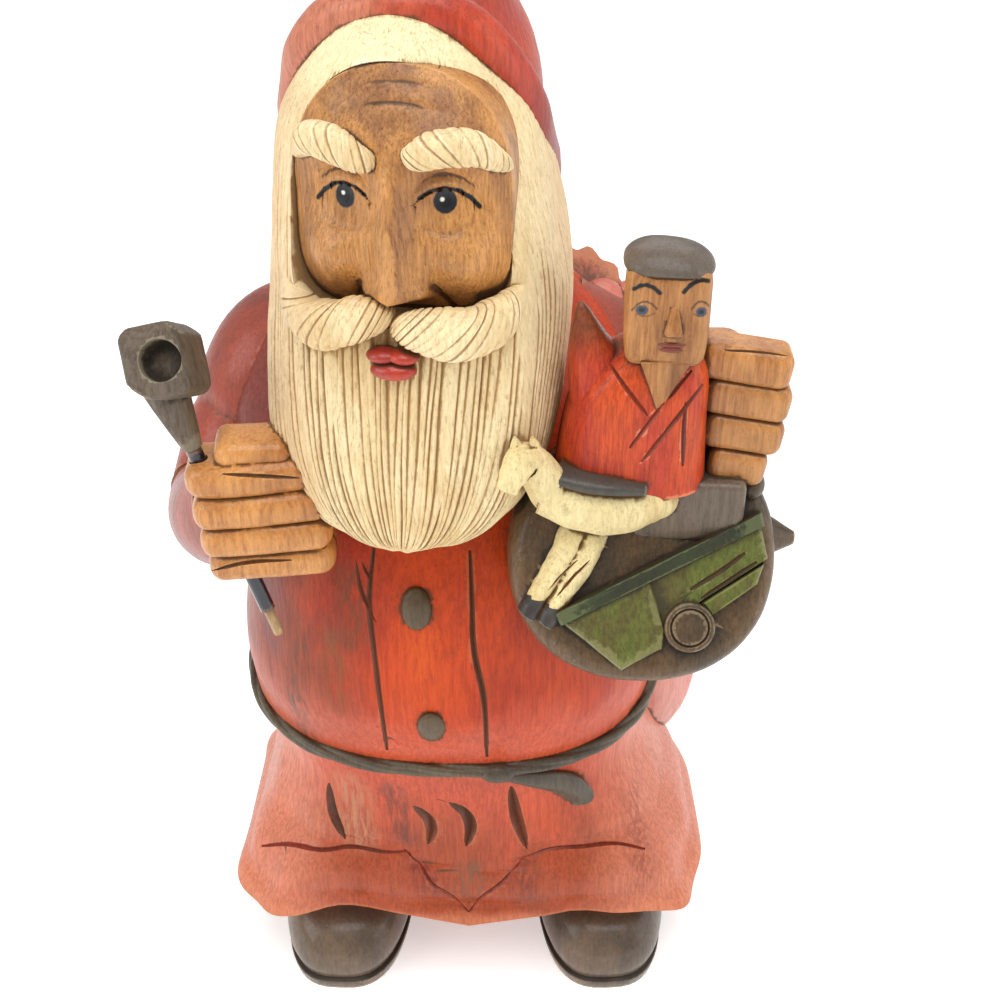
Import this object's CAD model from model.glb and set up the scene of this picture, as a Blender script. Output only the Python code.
import math

import bmesh
import bpy
import numpy as np
from mathutils import Matrix, Vector
from mathutils.bvhtree import BVHTree


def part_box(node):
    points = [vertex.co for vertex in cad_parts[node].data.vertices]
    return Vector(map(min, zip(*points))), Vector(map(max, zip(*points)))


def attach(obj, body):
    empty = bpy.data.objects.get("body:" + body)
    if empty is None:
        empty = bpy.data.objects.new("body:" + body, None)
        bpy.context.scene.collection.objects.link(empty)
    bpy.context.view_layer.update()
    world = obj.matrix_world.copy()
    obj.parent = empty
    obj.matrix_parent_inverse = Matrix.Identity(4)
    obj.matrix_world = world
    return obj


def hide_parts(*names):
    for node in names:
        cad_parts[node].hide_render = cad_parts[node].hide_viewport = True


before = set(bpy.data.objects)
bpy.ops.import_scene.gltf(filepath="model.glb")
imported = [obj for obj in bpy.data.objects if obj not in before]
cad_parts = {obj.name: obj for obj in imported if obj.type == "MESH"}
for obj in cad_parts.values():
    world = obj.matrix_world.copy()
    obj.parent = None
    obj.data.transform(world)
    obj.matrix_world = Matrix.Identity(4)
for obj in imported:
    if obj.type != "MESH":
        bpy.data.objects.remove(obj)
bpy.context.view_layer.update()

# Carved and painted wooden santa. Sizes are in millimetres, in the carver's own frame,
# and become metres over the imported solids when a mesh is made.

mm = 0.001
random = np.random.default_rng(11)

# Camera and studio

camera = {"place": (0.0089, -0.25604, 0.292), "down": math.radians(32), "lens": 45.86, "sensor": 36,
          "picture": 1000}
studio = {
    "floor": (0.93, 0.93, 0.925),
    "glow": 0.4,
    "sky": 0.5,
    "lights": (
        # name, place, power, size
        ("top", (0.05, -0.35, 1.25), 9.0, 0.9),
        ("left window", (-0.95, -0.45, 0.65), 4.5, 0.7),
        ("right fill", (1.0, -0.2, 0.5), 3.5, 0.9),
        ("back", (0.1, 0.9, 0.9), 2.5, 0.8),
    ),
}

view = bpy.data.objects.new("view", bpy.data.cameras.new("view"))
bpy.context.scene.collection.objects.link(view)
view.location = camera["place"]
view.rotation_euler = (math.pi / 2 - camera["down"], 0, 0)
view.data.sensor_width = camera["sensor"]
view.data.lens = camera["lens"]
view.data.clip_start = 0.01
bpy.context.scene.camera = view
bpy.context.scene.view_settings.view_transform = "Standard"

for lightName, place, power, size in studio["lights"]:
    light = bpy.data.objects.new(lightName, bpy.data.lights.new(lightName, "AREA"))
    bpy.context.scene.collection.objects.link(light)
    light.location = place
    light.rotation_euler = (Vector((0, 0, 0.12)) - Vector(place)).to_track_quat("-Z", "Y").to_euler()
    light.data.energy = power
    light.data.size = size
world = bpy.data.worlds.new("studio")
world.use_nodes = True
world.node_tree.nodes["Background"].inputs["Color"].default_value = (1, 1, 1, 1)
world.node_tree.nodes["Background"].inputs["Strength"].default_value = studio["sky"]
bpy.context.scene.world = world

floorMesh = bpy.data.meshes.new("studioFloor")
floorMesh.from_pydata([(-6, -6, 0), (6, -6, 0), (6, 6, 0), (-6, 6, 0)], [], [(0, 1, 2, 3)])
floor = bpy.data.objects.new("studioFloor", floorMesh)
bpy.context.scene.collection.objects.link(floor)
floorPaint = bpy.data.materials.new("paleFloor")
floorPaint.use_nodes = True
floorPaint.node_tree.nodes["Principled BSDF"].inputs["Base Color"].default_value = (*studio["floor"], 1)
floorPaint.node_tree.nodes["Principled BSDF"].inputs["Roughness"].default_value = 0.7
floorPaint.node_tree.nodes["Principled BSDF"].inputs["Emission Color"].default_value = (1, 1, 1, 1)
floorPaint.node_tree.nodes["Principled BSDF"].inputs["Emission Strength"].default_value = studio["glow"]
floor.data.materials.append(floorPaint)
print("studio ready")

# Node helpers


def feed(tree, socket, value):  # a socket takes another node's output, or a plain value
    if isinstance(value, bpy.types.NodeSocket):
        tree.links.new(value, socket)
    elif hasattr(socket, "default_value"):
        socket.default_value = value


def add(tree, kind, values=(), **settings):  # a node with its inputs fed by name or number
    node = tree.nodes.new(kind)
    for key, value in settings.items():
        setattr(node, key, value)
    for key, value in dict(values).items():
        feed(tree, node.inputs[key], value)
    return node


def scaled(tree, vector, amount):
    return add(tree, "ShaderNodeVectorMath", {0: vector, "Scale": amount}, operation="SCALE").outputs[0]


def maths(tree, operation, *values, clamp=False):
    node = add(tree, "ShaderNodeMath", enumerate(values), operation=operation, use_clamp=clamp)
    return node.outputs[0]


def vectors(tree, operation, *values, output=0):
    return add(tree, "ShaderNodeVectorMath", enumerate(values), operation=operation).outputs[output]


def ramp(tree, value, low, high, start=0.0, end=1.0):  # smooth step between two values
    node = add(tree, "ShaderNodeMapRange", {0: value, 1: low, 2: high, 3: start, 4: end})
    node.interpolation_type = "SMOOTHSTEP"
    return node.outputs[0]


def mixColour(tree, factor, first, second, blend="MIX"):
    node = add(tree, "ShaderNodeMix", {0: factor, 6: first, 7: second}, data_type="RGBA", blend_type=blend)
    return node.outputs[2]


def newGroup(name, inputs, outputs, treeKind="ShaderNodeTree"):
    group = bpy.data.node_groups.new(name, treeKind)
    for socketName, kind, *value in inputs:
        socket = group.interface.new_socket(socketName, in_out="INPUT", socket_type=kind)
        if value:
            socket.default_value = value[0]
    for socketName, kind in outputs:
        group.interface.new_socket(socketName, in_out="OUTPUT", socket_type=kind)
    return group, group.nodes.new("NodeGroupInput").outputs, group.nodes.new("NodeGroupOutput").inputs


def useGroup(tree, group, values=()):
    node = tree.nodes.new("ShaderNodeGroup")
    node.node_tree = group
    for key, value in dict(values).items():
        feed(tree, node.inputs[key], value)
    return node.outputs


def objectPlace(tree, scale):  # the place on the object in millimetres, stretched
    place = add(tree, "ShaderNodeTexCoord").outputs["Object"]
    return vectors(tree, "MULTIPLY", place, tuple(1000 * s for s in scale))


def noiseAt(tree, vector, scale, detail=3.0, roughness=0.55, distortion=0.0):
    values = {"Vector": vector, "Scale": scale, "Detail": detail, "Roughness": roughness,
              "Distortion": distortion}
    return add(tree, "ShaderNodeTexNoise", values).outputs["Fac"]


def colour(red, green, blue):  # 0 to 255 as a screen shows it
    linear = []
    for part in (red, green, blue):
        share = part / 255
        linear.append(share / 12.92 if share <= 0.04045 else ((share + 0.055) / 1.055) ** 2.4)
    return (*linear, 1.0)


number, count, arrow = "NodeSocketFloat", "NodeSocketInt", "NodeSocketVector"
form, coating = "NodeSocketGeometry", "NodeSocketMaterial"


def makeWoodGrain():  # streaks along the block's upright grain, fine pores and a height for bump
    group, given, result = newGroup(
        "woodGrain",
        [("Width", number, 1.0), ("Contrast", number, 1.0)],
        [("Streak", number), ("Bands", number), ("Height", number)],
    )
    fine = scaled(group, objectPlace(group, (1.5, 1.5, 0.10)), maths(group, "DIVIDE", 1.0, given["Width"]))
    streak = noiseAt(group, fine, 0.9, 4.0, 0.65, 0.25)
    feed(group, result["Streak"], ramp(group, streak, 0.36, 0.66))
    broad = noiseAt(group, objectPlace(group, (0.16, 0.16, 0.018)), 1.0, 3.0, 0.5, 0.9)
    rings = maths(group, "SINE", maths(group, "MULTIPLY", broad, 34.0))
    feed(group, result["Bands"], maths(group, "MULTIPLY_ADD", rings, 0.5, 0.5))
    pores = noiseAt(group, objectPlace(group, (3.4, 3.4, 0.55)), 1.0, 2.0, 0.6)
    dash = ramp(group, pores, 0.60, 0.68)
    deep = maths(group, "MULTIPLY", dash, -0.7)
    feed(group, result["Height"], maths(group, "MULTIPLY", maths(group, "ADD", streak, deep),
                                        given["Contrast"]))
    return group


def makeAntiqueWash():  # brown wash that stays in crevices and, thinly, in blotches
    group, given, result = newGroup(
        "antiqueWash",
        [("Amount", number, 1.0), ("Blotches", number, 0.3), ("Speckle", number, 0.3)],
        [("Mask", number), ("Specks", number)],
    )
    crevice = add(group, "ShaderNodeAttribute", attribute_name="crevice").outputs["Fac"]
    place = objectPlace(group, (1, 1, 1))
    rough = noiseAt(group, place, 0.55, 5.0, 0.7)
    spread = maths(group, "MULTIPLY_ADD", maths(group, "SUBTRACT", rough, 0.5), 0.9, crevice)
    settled = ramp(group, spread, 0.16, 0.62)
    blotch = ramp(group, noiseAt(group, place, 0.11, 4.0, 0.6, 0.6), 0.5, 0.78)
    total = maths(group, "MULTIPLY_ADD", blotch, given["Blotches"],
                  maths(group, "MULTIPLY", settled, given["Amount"]))
    feed(group, result["Mask"], maths(group, "MINIMUM", total, 1.0))
    flecks = ramp(group, noiseAt(group, objectPlace(group, (1.5, 1.5, 0.3)), 1.3, 4.0, 0.75, 0.4), 0.50,
                  0.70)
    here = ramp(group, noiseAt(group, place, 0.09, 3.0, 0.6, 0.5), 0.36, 0.62)
    flecks = maths(group, "MULTIPLY", flecks, maths(group, "MULTIPLY_ADD", here, 0.8, 0.2))
    feed(group, result["Specks"], maths(group, "MULTIPLY", flecks, given["Speckle"]))
    return group


def makeEdgeWear():  # where handling has rubbed the paint off the high edges
    group, given, result = newGroup("edgeWear", [("Amount", number, 1.0)], [("Mask", number)])
    edge = add(group, "ShaderNodeAttribute", attribute_name="edge").outputs["Fac"]
    chips = noiseAt(group, objectPlace(group, (1, 1, 0.55)), 0.8, 5.0, 0.7)
    rubbed = maths(group, "MULTIPLY_ADD", maths(group, "SUBTRACT", chips, 0.55), 1.3, edge)
    feed(group, result["Mask"], maths(group, "MULTIPLY", ramp(group, rubbed, 0.32, 0.6), given["Amount"]))
    return group


def makeKnifeMarks():  # shallow flats that a knife leaves
    group, given, result = newGroup("knifeMarks", [("Size", number, 5.0)], [("Height", number)])
    place = scaled(group, objectPlace(group, (1, 1, 0.5)), maths(group, "DIVIDE", 1.0, given["Size"]))
    cells = add(group, "ShaderNodeTexVoronoi", {"Vector": place, "Scale": 1.0}, feature="SMOOTH_F1")
    feed(group, cells.inputs["Smoothness"], 0.35)
    feed(group, result["Height"], cells.outputs["Distance"])
    return group


def makeBrushStroke():  # a dab of paint between two points on the surface
    group, given, result = newGroup(
        "brushStroke",
        [("Start", arrow, (0, 0, 0)), ("End", arrow, (0, 0, 0)), ("Width", number, 0.5),
         ("Soft", number, 0.15)],
        [("Mask", number)],
    )
    place = objectPlace(group, (1, 1, 1))
    wobble = maths(group, "MULTIPLY", maths(group, "SUBTRACT", noiseAt(group, place, 1.6, 2.0), 0.5), 0.3)
    along = vectors(group, "SUBTRACT", given["End"], given["Start"])
    offset = vectors(group, "SUBTRACT", place, given["Start"])
    length = maths(group, "MAXIMUM", vectors(group, "DOT_PRODUCT", along, along, output=1), 0.0001)
    share = maths(group, "DIVIDE", vectors(group, "DOT_PRODUCT", offset, along, output=1), length,
                  clamp=True)
    distance = vectors(group, "LENGTH", vectors(group, "SUBTRACT", offset, scaled(group, along, share)),
                       output=1)
    inside = maths(group, "SUBTRACT", given["Width"], maths(group, "ADD", distance, wobble))
    node = add(group, "ShaderNodeMapRange",
               {0: inside, 1: maths(group, "MULTIPLY", given["Soft"], -1.0), 2: given["Soft"]})
    node.interpolation_type = "SMOOTHSTEP"
    feed(group, result["Mask"], node.outputs[0])
    return group


woodGrain, antiqueWash, edgeWear = makeWoodGrain(), makeAntiqueWash(), makeEdgeWear()
knifeMarks, brushStroke = makeKnifeMarks(), makeBrushStroke()

# Paints. first and second are the two shades, wash fills the crevices, bare is the wood on rubbed edges.

antiqueBrown = colour(84, 58, 36)
bareWood = colour(176, 128, 80)

plainPaint = {
    "wash": antiqueBrown, "bare": bareWood, "washAmount": 0.85, "blotches": 0.15, "speckle": 0.0,
    "wear": 0.5, "grain": 0.25, "grainWidth": 1.0, "bands": 0.0, "patches": 0.06, "roughness": 0.42,
    "gloss": 0.25, "bump": 0.10, "flats": 0.10, "flatSize": 5.0, "specular": 0.28, "zones": (),
}

# A zone is a tint over part of a piece: how much of it, and from where to where it fades in, in mm.
paints = {
    "coatPaint": {
        "first": colour(204, 70, 18), "second": colour(178, 54, 22), "grain": 0.5, "blotches": 0.18,
        "wear": 0.3, "bare": colour(196, 122, 74), "patches": 0.05, "gloss": 0.22, "specular": 0.14,
        "zones": (
            {"tint": colour(112, 66, 44), "share": 0.62, "X": (-16, -40), "Z": (72, 90), "ragged": 26},
            {"tint": colour(112, 66, 70), "share": 0.5, "X": (-30, -44), "Z": (112, 128), "ragged": 12},
            {"tint": colour(222, 104, 72), "share": 0.5, "Z": (108, 90), "ragged": 22},
            {"tint": colour(142, 72, 44), "share": 0.62, "Y": (-18, -34), "Z": (74, 46), "ragged": 20},
            {"tint": colour(222, 138, 108), "share": 0.75, "X": (24, 48), "Z": (92, 66), "ragged": 10},
            {"tint": colour(222, 138, 108), "share": 0.75, "X": (-26, -48), "Z": (92, 66), "ragged": 10},
            {"tint": colour(222, 132, 94), "share": 0.6, "Z": (31.5, 28.5), "ragged": 3},
        ),
    },
    "capPaint": {
        "first": colour(204, 74, 38), "second": colour(180, 60, 44), "grain": 0.6, "blotches": 0.1,
        "patches": 0.05, "wear": 0.3,
        "zones": (
            {"tint": colour(206, 128, 98), "share": 0.9, "X": (0, -20), "ragged": 12},
            {"tint": colour(118, 58, 60), "share": 0.8, "X": (10, 24), "Z": (252, 226), "ragged": 12},
            {"tint": colour(226, 150, 132), "share": 0.7, "Z": (252, 264), "ragged": 10},
        ),
    },
    "sleevePaint": {
        "first": colour(166, 76, 56), "second": colour(138, 68, 56), "grain": 0.4, "blotches": 0.35,
        "zones": (
            {"tint": colour(108, 58, 60), "share": 0.5, "Z": (150, 128), "ragged": 14},
        ),
    },
    "hairPaint": {
        "first": colour(246, 226, 178), "second": colour(230, 200, 146), "wash": colour(158, 116, 66),
        "washAmount": 0.8, "blotches": 0.12, "speckle": 0.6, "grain": 0.3, "wear": 0.45,
        "bare": colour(252, 242, 212), "roughness": 0.55, "gloss": 0.08, "flats": 0.04,
        "zones": (
            {"tint": colour(236, 204, 164), "share": 0.6, "X": (-20, -31), "ragged": 5},
            {"tint": colour(236, 204, 164), "share": 0.6, "X": (12, 24), "ragged": 5},
            {"tint": colour(252, 244, 196), "share": 0.7, "Z": (236, 246), "ragged": 3},
        ),
    },
    "skinWood": {
        "first": colour(220, 152, 84), "second": colour(186, 120, 62), "wash": colour(96, 60, 32),
        "washAmount": 0.8, "blotches": 0.3, "grain": 0.55, "grainWidth": 0.8, "bands": 0.25, "wear": 0.35,
        "bare": colour(236, 176, 104), "roughness": 0.36, "gloss": 0.35, "speckle": 0.3,
        "zones": (
            {"tint": colour(148, 96, 54), "share": 0.55, "X": (36, 46), "Z": (196, 184), "ragged": 8},
        ),
    },
    "faceWood": {
        "first": colour(212, 150, 84), "second": colour(160, 108, 66), "wash": colour(88, 62, 42),
        "washAmount": 0.95, "blotches": 0.4, "grain": 0.75, "bump": 0.16, "flats": 0.2, "grainWidth": 0.7,
        "bands": 0.15, "wear": 0.5, "bare": colour(226, 164, 96), "roughness": 0.38, "gloss": 0.25,
        "speckle": 0.45, "patches": 0.09,
    },
    "dollWood": {
        "first": colour(184, 124, 68), "second": colour(136, 88, 50), "wash": colour(70, 44, 28),
        "blotches": 0.35, "grain": 0.7, "grainWidth": 0.6, "bands": 0.3, "bare": colour(220, 160, 96),
        "speckle": 0.15,
    },
    "dollLips": {
        "first": colour(138, 66, 50), "second": colour(120, 60, 44), "roughness": 0.3,
    },
    "redGouge": {
        "first": colour(142, 66, 38), "second": colour(110, 54, 34), "grain": 0.6, "wear": 0.0,
        "washAmount": 0.45,
    },
    "robeGouge": {
        "first": colour(168, 62, 40), "second": colour(132, 54, 38), "grain": 0.6, "wear": 0.0,
        "washAmount": 0.25,
    },
    "woodGouge": {
        "first": colour(128, 82, 46), "second": colour(104, 66, 38), "grain": 0.5, "wear": 0.0,
        "washAmount": 0.4,
    },
    "greenGouge": {
        "first": colour(58, 60, 34), "second": colour(46, 50, 30), "grain": 0.5, "wear": 0.0,
    },
    "lipPaint": {
        "first": colour(192, 58, 34), "second": colour(158, 50, 42), "roughness": 0.26, "gloss": 0.5,
        "wear": 0.1, "blotches": 0.05,
    },
    "buttonPaint": {
        "first": colour(92, 74, 48), "second": colour(72, 58, 38), "speckle": 0.35, "grain": 0.5,
    },
    "cordPaint": {
        "first": colour(98, 88, 68), "second": colour(78, 70, 58), "grain": 0.5, "wear": 0.25,
        "bare": colour(150, 140, 112), "roughness": 0.5,
    },
    "bootPaint": {
        "first": colour(118, 98, 78), "second": colour(90, 76, 62), "grain": 0.4, "wear": 0.6,
        "bare": colour(172, 152, 124), "roughness": 0.34, "speckle": 0.2, "gloss": 0.4, "blotches": 0.3,
        "wash": colour(42, 36, 30),
    },
    "robePaint": {
        "first": colour(214, 84, 38), "second": colour(188, 62, 40), "specular": 0.15, "grain": 0.7,
        "grainWidth": 0.7, "wear": 0.6, "bare": colour(226, 140, 104), "wash": colour(98, 56, 42),
        "roughness": 0.36, "patches": 0.12,
        "zones": (
            {"tint": colour(120, 76, 48), "share": 0.8, "Z": (192, 200), "ragged": 4},
        ),
    },
    "dollHair": {
        "first": colour(108, 96, 84), "second": colour(84, 74, 66), "speckle": 0.3, "grain": 0.3,
        "roughness": 0.5,
    },
    "horsePaint": {
        "first": colour(240, 222, 166), "second": colour(216, 190, 132), "wash": colour(120, 90, 52),
        "speckle": 0.4, "grain": 0.3, "washAmount": 1.0, "roughness": 0.55, "gloss": 0.1,
    },
    "saddlePaint": {
        "first": colour(76, 72, 66), "second": colour(56, 52, 50), "speckle": 0.3, "wear": 0.5,
        "bare": colour(140, 132, 112),
    },
    "truckPaint": {
        "first": colour(100, 108, 46), "second": colour(96, 86, 44), "grain": 0.7, "blotches": 0.5,
        "wash": colour(62, 56, 32), "wear": 0.3, "bare": colour(168, 166, 112), "patches": 0.12,
        "speckle": 0.15, "roughness": 0.38,
    },
    "bandPaint": {
        "first": colour(58, 66, 38), "second": colour(46, 48, 34), "grain": 0.35, "wear": 0.4,
        "bare": colour(120, 126, 84), "roughness": 0.38,
    },
    "massPaint": {
        "first": colour(78, 64, 46), "second": colour(108, 82, 52), "grain": 0.7, "blotches": 0.3,
        "wash": colour(46, 36, 26), "wear": 0.5, "bare": colour(160, 140, 108), "speckle": 0.35,
        "roughness": 0.44,
    },
    "blockPaint": {
        "first": colour(128, 112, 94), "second": colour(108, 94, 80), "grain": 0.5, "speckle": 0.2,
        "wash": colour(60, 50, 40),
    },
    "sackPaint": {
        "first": colour(210, 104, 78), "second": colour(218, 148, 134), "grain": 0.3, "patches": 0.03,
        "blotches": 0.15,
    },
    "pipeWood": {
        "first": colour(112, 99, 84), "second": colour(88, 78, 66), "wash": colour(48, 42, 34),
        "grain": 0.7, "wear": 0.5, "bare": colour(158, 148, 124), "roughness": 0.55, "gloss": 0.08,
        "speckle": 0.25, "blotches": 0.3,
    },
    "stemBlack": {
        "first": colour(24, 28, 42), "second": colour(16, 18, 26), "roughness": 0.16, "gloss": 0.9,
        "grain": 0.1, "wear": 0.25, "blotches": 0.0,
    },
    "tipWood": {
        "first": colour(196, 166, 118), "second": colour(168, 136, 92), "grain": 0.6, "grainWidth": 0.5,
        "roughness": 0.5,
    },
}
paintNames = list(paints)


def zoneMask(tree, zone):
    place = objectPlace(tree, (1, 1, 0.6))
    rough = maths(tree, "SUBTRACT", noiseAt(tree, place, 0.07, 5.0, 0.62, 0.3), 0.5)
    rough = maths(tree, "MULTIPLY", rough, 2.0 * zone["ragged"])
    apart = add(tree, "ShaderNodeSeparateXYZ", {0: objectPlace(tree, (1, 1, 1))})
    mask = zone["share"]
    for axis in "XYZ":
        if axis in zone:
            reach = ramp(tree, maths(tree, "ADD", apart.outputs[axis], rough), *zone[axis])
            mask = maths(tree, "MULTIPLY", reach, mask)
    return mask


def makePaint(name):
    look = {**plainPaint, **paints[name]}
    paint = bpy.data.materials.new(name)
    paint.use_nodes = True
    tree = paint.node_tree
    shader = tree.nodes["Principled BSDF"]
    grain = useGroup(tree, woodGrain, {"Width": look["grainWidth"]})
    wash = useGroup(tree, antiqueWash, {
        "Amount": look["washAmount"], "Blotches": look["blotches"], "Speckle": look["speckle"],
    })
    worn = useGroup(tree, edgeWear, {"Amount": look["wear"]})
    flats = useGroup(tree, knifeMarks, {"Size": look["flatSize"]})
    patches = ramp(tree, noiseAt(tree, objectPlace(tree, (1, 1, 0.4)), look["patches"], 4.0, 0.6, 0.4),
                   0.38, 0.64)
    base = mixColour(tree, patches, look["first"], look["second"])
    for zone in look["zones"]:
        base = mixColour(tree, zoneMask(tree, zone), base, zone["tint"])
    dark = mixColour(tree, 1.0, base, (0.52, 0.45, 0.40, 1), "MULTIPLY")
    streaks = maths(tree, "MULTIPLY", grain["Streak"], look["grain"])
    base = mixColour(tree, streaks, base, dark)
    if look["bands"]:
        base = mixColour(tree, maths(tree, "MULTIPLY", grain["Bands"], look["bands"]), base, look["bare"])
    base = mixColour(tree, worn["Mask"], base, look["bare"])
    base = mixColour(tree, wash["Specks"], base, look["wash"])
    base = mixColour(tree, wash["Mask"], base, look["wash"])
    feed(tree, shader.inputs["Base Color"], base)
    dull = maths(tree, "MULTIPLY_ADD", wash["Mask"], 0.22, look["roughness"])
    feed(tree, shader.inputs["Roughness"], maths(tree, "MULTIPLY_ADD", grain["Streak"], 0.08, dull))
    shader.inputs["Specular IOR Level"].default_value = look["specular"]
    shader.inputs["Coat Weight"].default_value = look["gloss"]
    shader.inputs["Coat Roughness"].default_value = 0.18
    tall = maths(tree, "MULTIPLY", grain["Height"], look["bump"])
    height = maths(tree, "MULTIPLY_ADD", flats["Height"], look["flats"], tall)
    relief = add(tree, "ShaderNodeBump", {"Height": height, "Strength": 1.0, "Distance": mm})
    feed(tree, shader.inputs["Normal"], relief.outputs["Normal"])
    return paint


paintMade = {name: makePaint(name) for name in paintNames}
print("paints ready", len(paintMade))

# Shape helpers


def smoothValues(stations, at):  # the values at each place, on smooth curves through the stations
    table = np.array(stations, float)
    at = np.clip(np.atleast_1d(np.asarray(at, float)), table[0, 0], table[-1, 0])
    index = np.clip(np.searchsorted(table[:, 0], at, side="right") - 1, 0, len(table) - 2)
    before, after = np.maximum(index - 1, 0), np.minimum(index + 2, len(table) - 1)
    low, high = table[index], table[index + 1]
    span = high[:, :1] - low[:, :1]
    t = (at[:, None] - low[:, :1]) / span
    slopeLow = (high - table[before]) / (high[:, :1] - table[before][:, :1]) * span
    slopeHigh = (table[after] - low) / (table[after][:, :1] - low[:, :1]) * span
    value = (2 * t**3 - 3 * t**2 + 1) * low + (t**3 - 2 * t**2 + t) * slopeLow
    value = value + (3 * t**2 - 2 * t**3) * high + (t**3 - t**2) * slopeHigh
    return value[:, 1:]


def rounded(value, power):  # a sine or cosine bent so that a circle becomes a squarer ring
    return np.sign(value) * np.abs(value) ** (2 / power)


def bump(distance, width):  # 1 at the middle, falling smoothly to 0
    share = np.minimum(np.abs(distance) / width, 1.0)
    return (1 - share * share) ** 2


def step(value, low, high):  # 0 below low, 1 above high, smooth between
    share = np.clip((value - low) / (high - low), 0, 1)
    return share * share * (3 - 2 * share)


def bell(x, z):
    return np.exp(-(x * x + z * z))


def lattice(points, size, seed):  # smooth noise from -1 to 1, with lumps of about a size
    table = np.random.default_rng(seed).uniform(-1, 1, (32, 32, 32))
    place = np.asarray(points, float) / size + 100
    cell = np.floor(place).astype(int)
    t = place - cell
    t = t * t * (3 - 2 * t)
    total = 0
    for dx in (0, 1):
        for dy in (0, 1):
            for dz in (0, 1):
                share = np.prod(np.where((dx, dy, dz), t, 1 - t), axis=-1)
                x, y, z = (np.moveaxis(cell, -1, 0)
                           + np.reshape((dx, dy, dz), (3,) + (1,) * (cell.ndim - 1))) % 32
                total = total + share * table[x, y, z]
    return total


pipe = {
    "top": np.array((-54.6, -56.5, 187.0)), "tip": np.array((-38.6, -56.5, 129.5)), "shankEnd": 14.0,
    "gap": 0.3,
    "stemRadius": 1.55, "tipRadius": 1.05, "tipLength": 6.5,
}
pipe["length"] = np.linalg.norm(pipe["tip"] - pipe["top"])
pipe["way"] = (pipe["tip"] - pipe["top"]) / pipe["length"]


def alongPipe(distance):
    return pipe["top"] + pipe["way"] * distance


def carverShift():  # from the carver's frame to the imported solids, by the stem's own box
    low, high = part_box("pipe_stem")
    start, end = alongPipe(pipe["shankEnd"] + pipe["gap"]), pipe["tip"]
    lean = math.sqrt(1 - pipe["way"][0] ** 2)
    left, right = start[0] - pipe["stemRadius"] * lean, end[0] + pipe["tipRadius"] * lean
    return Vector(((low.x + high.x) / 2 - (left + right) / 2 * mm, (low.y + high.y) / 2 - start[1] * mm, 0))


shift = carverShift()
print("carver's frame is moved by", [round(s / mm, 2) for s in shift], "mm")


def solid(name, points, faces, paint, groove=None):  # a closed mesh with outward faces, from millimetres
    points = np.asarray(points, float)
    fan = [(face[0], face[i], face[i + 1]) for face in faces for i in range(1, len(face) - 1)]
    a, b, c = (points[np.array(fan)[:, k]] for k in range(3))
    if np.einsum("ij,ij->i", a, np.cross(b, c)).sum() < 0:
        faces = [tuple(reversed(face)) for face in faces]
    mesh = bpy.data.meshes.new(name)
    mesh.from_pydata((points * mm + np.array(shift)).tolist(), [], faces)
    for made in paintMade.values():
        mesh.materials.append(made)
    mesh.polygons.foreach_set("material_index", [paintNames.index(paint)] * len(mesh.polygons))
    mark = mesh.attributes.new("groove", "FLOAT", "POINT")
    mark.data.foreach_set("value", np.zeros(len(points)) if groove is None else np.asarray(groove, float))
    thing = bpy.data.objects.new(name, mesh)
    bpy.context.scene.collection.objects.link(thing)
    return thing


# rows of closed loops, capped unless the rows close too
def skin(name, grid, paint, groove=None, ring=False):
    rows, count = grid.shape[:2]
    index = np.arange(rows * count).reshape(rows, count)
    low = index if ring else index[:-1]
    high = np.roll(index, -1, axis=0) if ring else index[1:]
    quads = np.stack([low, np.roll(low, -1, 1), np.roll(high, -1, 1), high], axis=-1).reshape(-1, 4)
    faces = [tuple(quad) for quad in quads.tolist()]
    points = grid.reshape(-1, 3)
    marks = np.zeros(len(points)) if groove is None else np.asarray(groove, float).reshape(-1)
    if not ring:
        points = np.concatenate([points, grid[0].mean(0)[None], grid[-1].mean(0)[None]])
        marks = np.concatenate([marks, [0, 0]])
        for k in range(count):
            after = (k + 1) % count
            faces.append((int(index[0, after]), int(index[0, k]), rows * count))
            faces.append((int(index[-1, k]), int(index[-1, after]), rows * count + 1))
    return solid(name, points, faces, paint, marks)


def sweep(name, path, sizes, paint, sides=32, up=(0, 0, 1), power=2.0, ring=False, slant=0.0, relief=None):
    # a limb along a path; slant leans its cross sections, and relief lifts them, both in millimetres
    path = np.asarray(path, float)
    sizes = np.broadcast_to(np.asarray(sizes, float), (len(path), 2))
    ahead = np.roll(path, -1, 0) - np.roll(path, 1, 0) if ring else np.gradient(path, axis=0)
    ahead /= np.linalg.norm(ahead, axis=1, keepdims=True)
    across = np.cross(ahead, np.asarray(up, float))
    across /= np.linalg.norm(across, axis=1, keepdims=True)
    over = np.cross(across, ahead)
    angle = 2 * math.pi * (np.arange(sides) + 0.5) / sides
    cosine, sine = rounded(np.cos(angle), power), rounded(np.sin(angle), power)
    wide, tall = sizes[:, :1] * cosine, sizes[:, 1:] * sine
    marks = None
    if relief is not None:
        lift, marks = relief(np.linspace(0, 1, len(path))[:, None], angle[None, :])
        reach = np.maximum(np.hypot(wide, tall), 0.01)
        wide, tall = wide * (1 + lift / reach), tall * (1 + lift / reach)
    grid = path[:, None] + across[:, None] * wide[..., None] + over[:, None] * tall[..., None]
    grid = grid + ahead[:, None] * (slant * tall)[..., None]
    return skin(name, grid, paint, marks, ring)


def limb(name, knots, paint, steps=8, **options):  # a sweep through knots of x, y, z and two radii
    values = smoothValues([(i, *knot) for i, knot in enumerate(knots)],
                          np.arange((len(knots) - 1) * steps + 1) / steps)
    return sweep(name, values[:, :3], values[:, 3:5], paint, **options)


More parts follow.
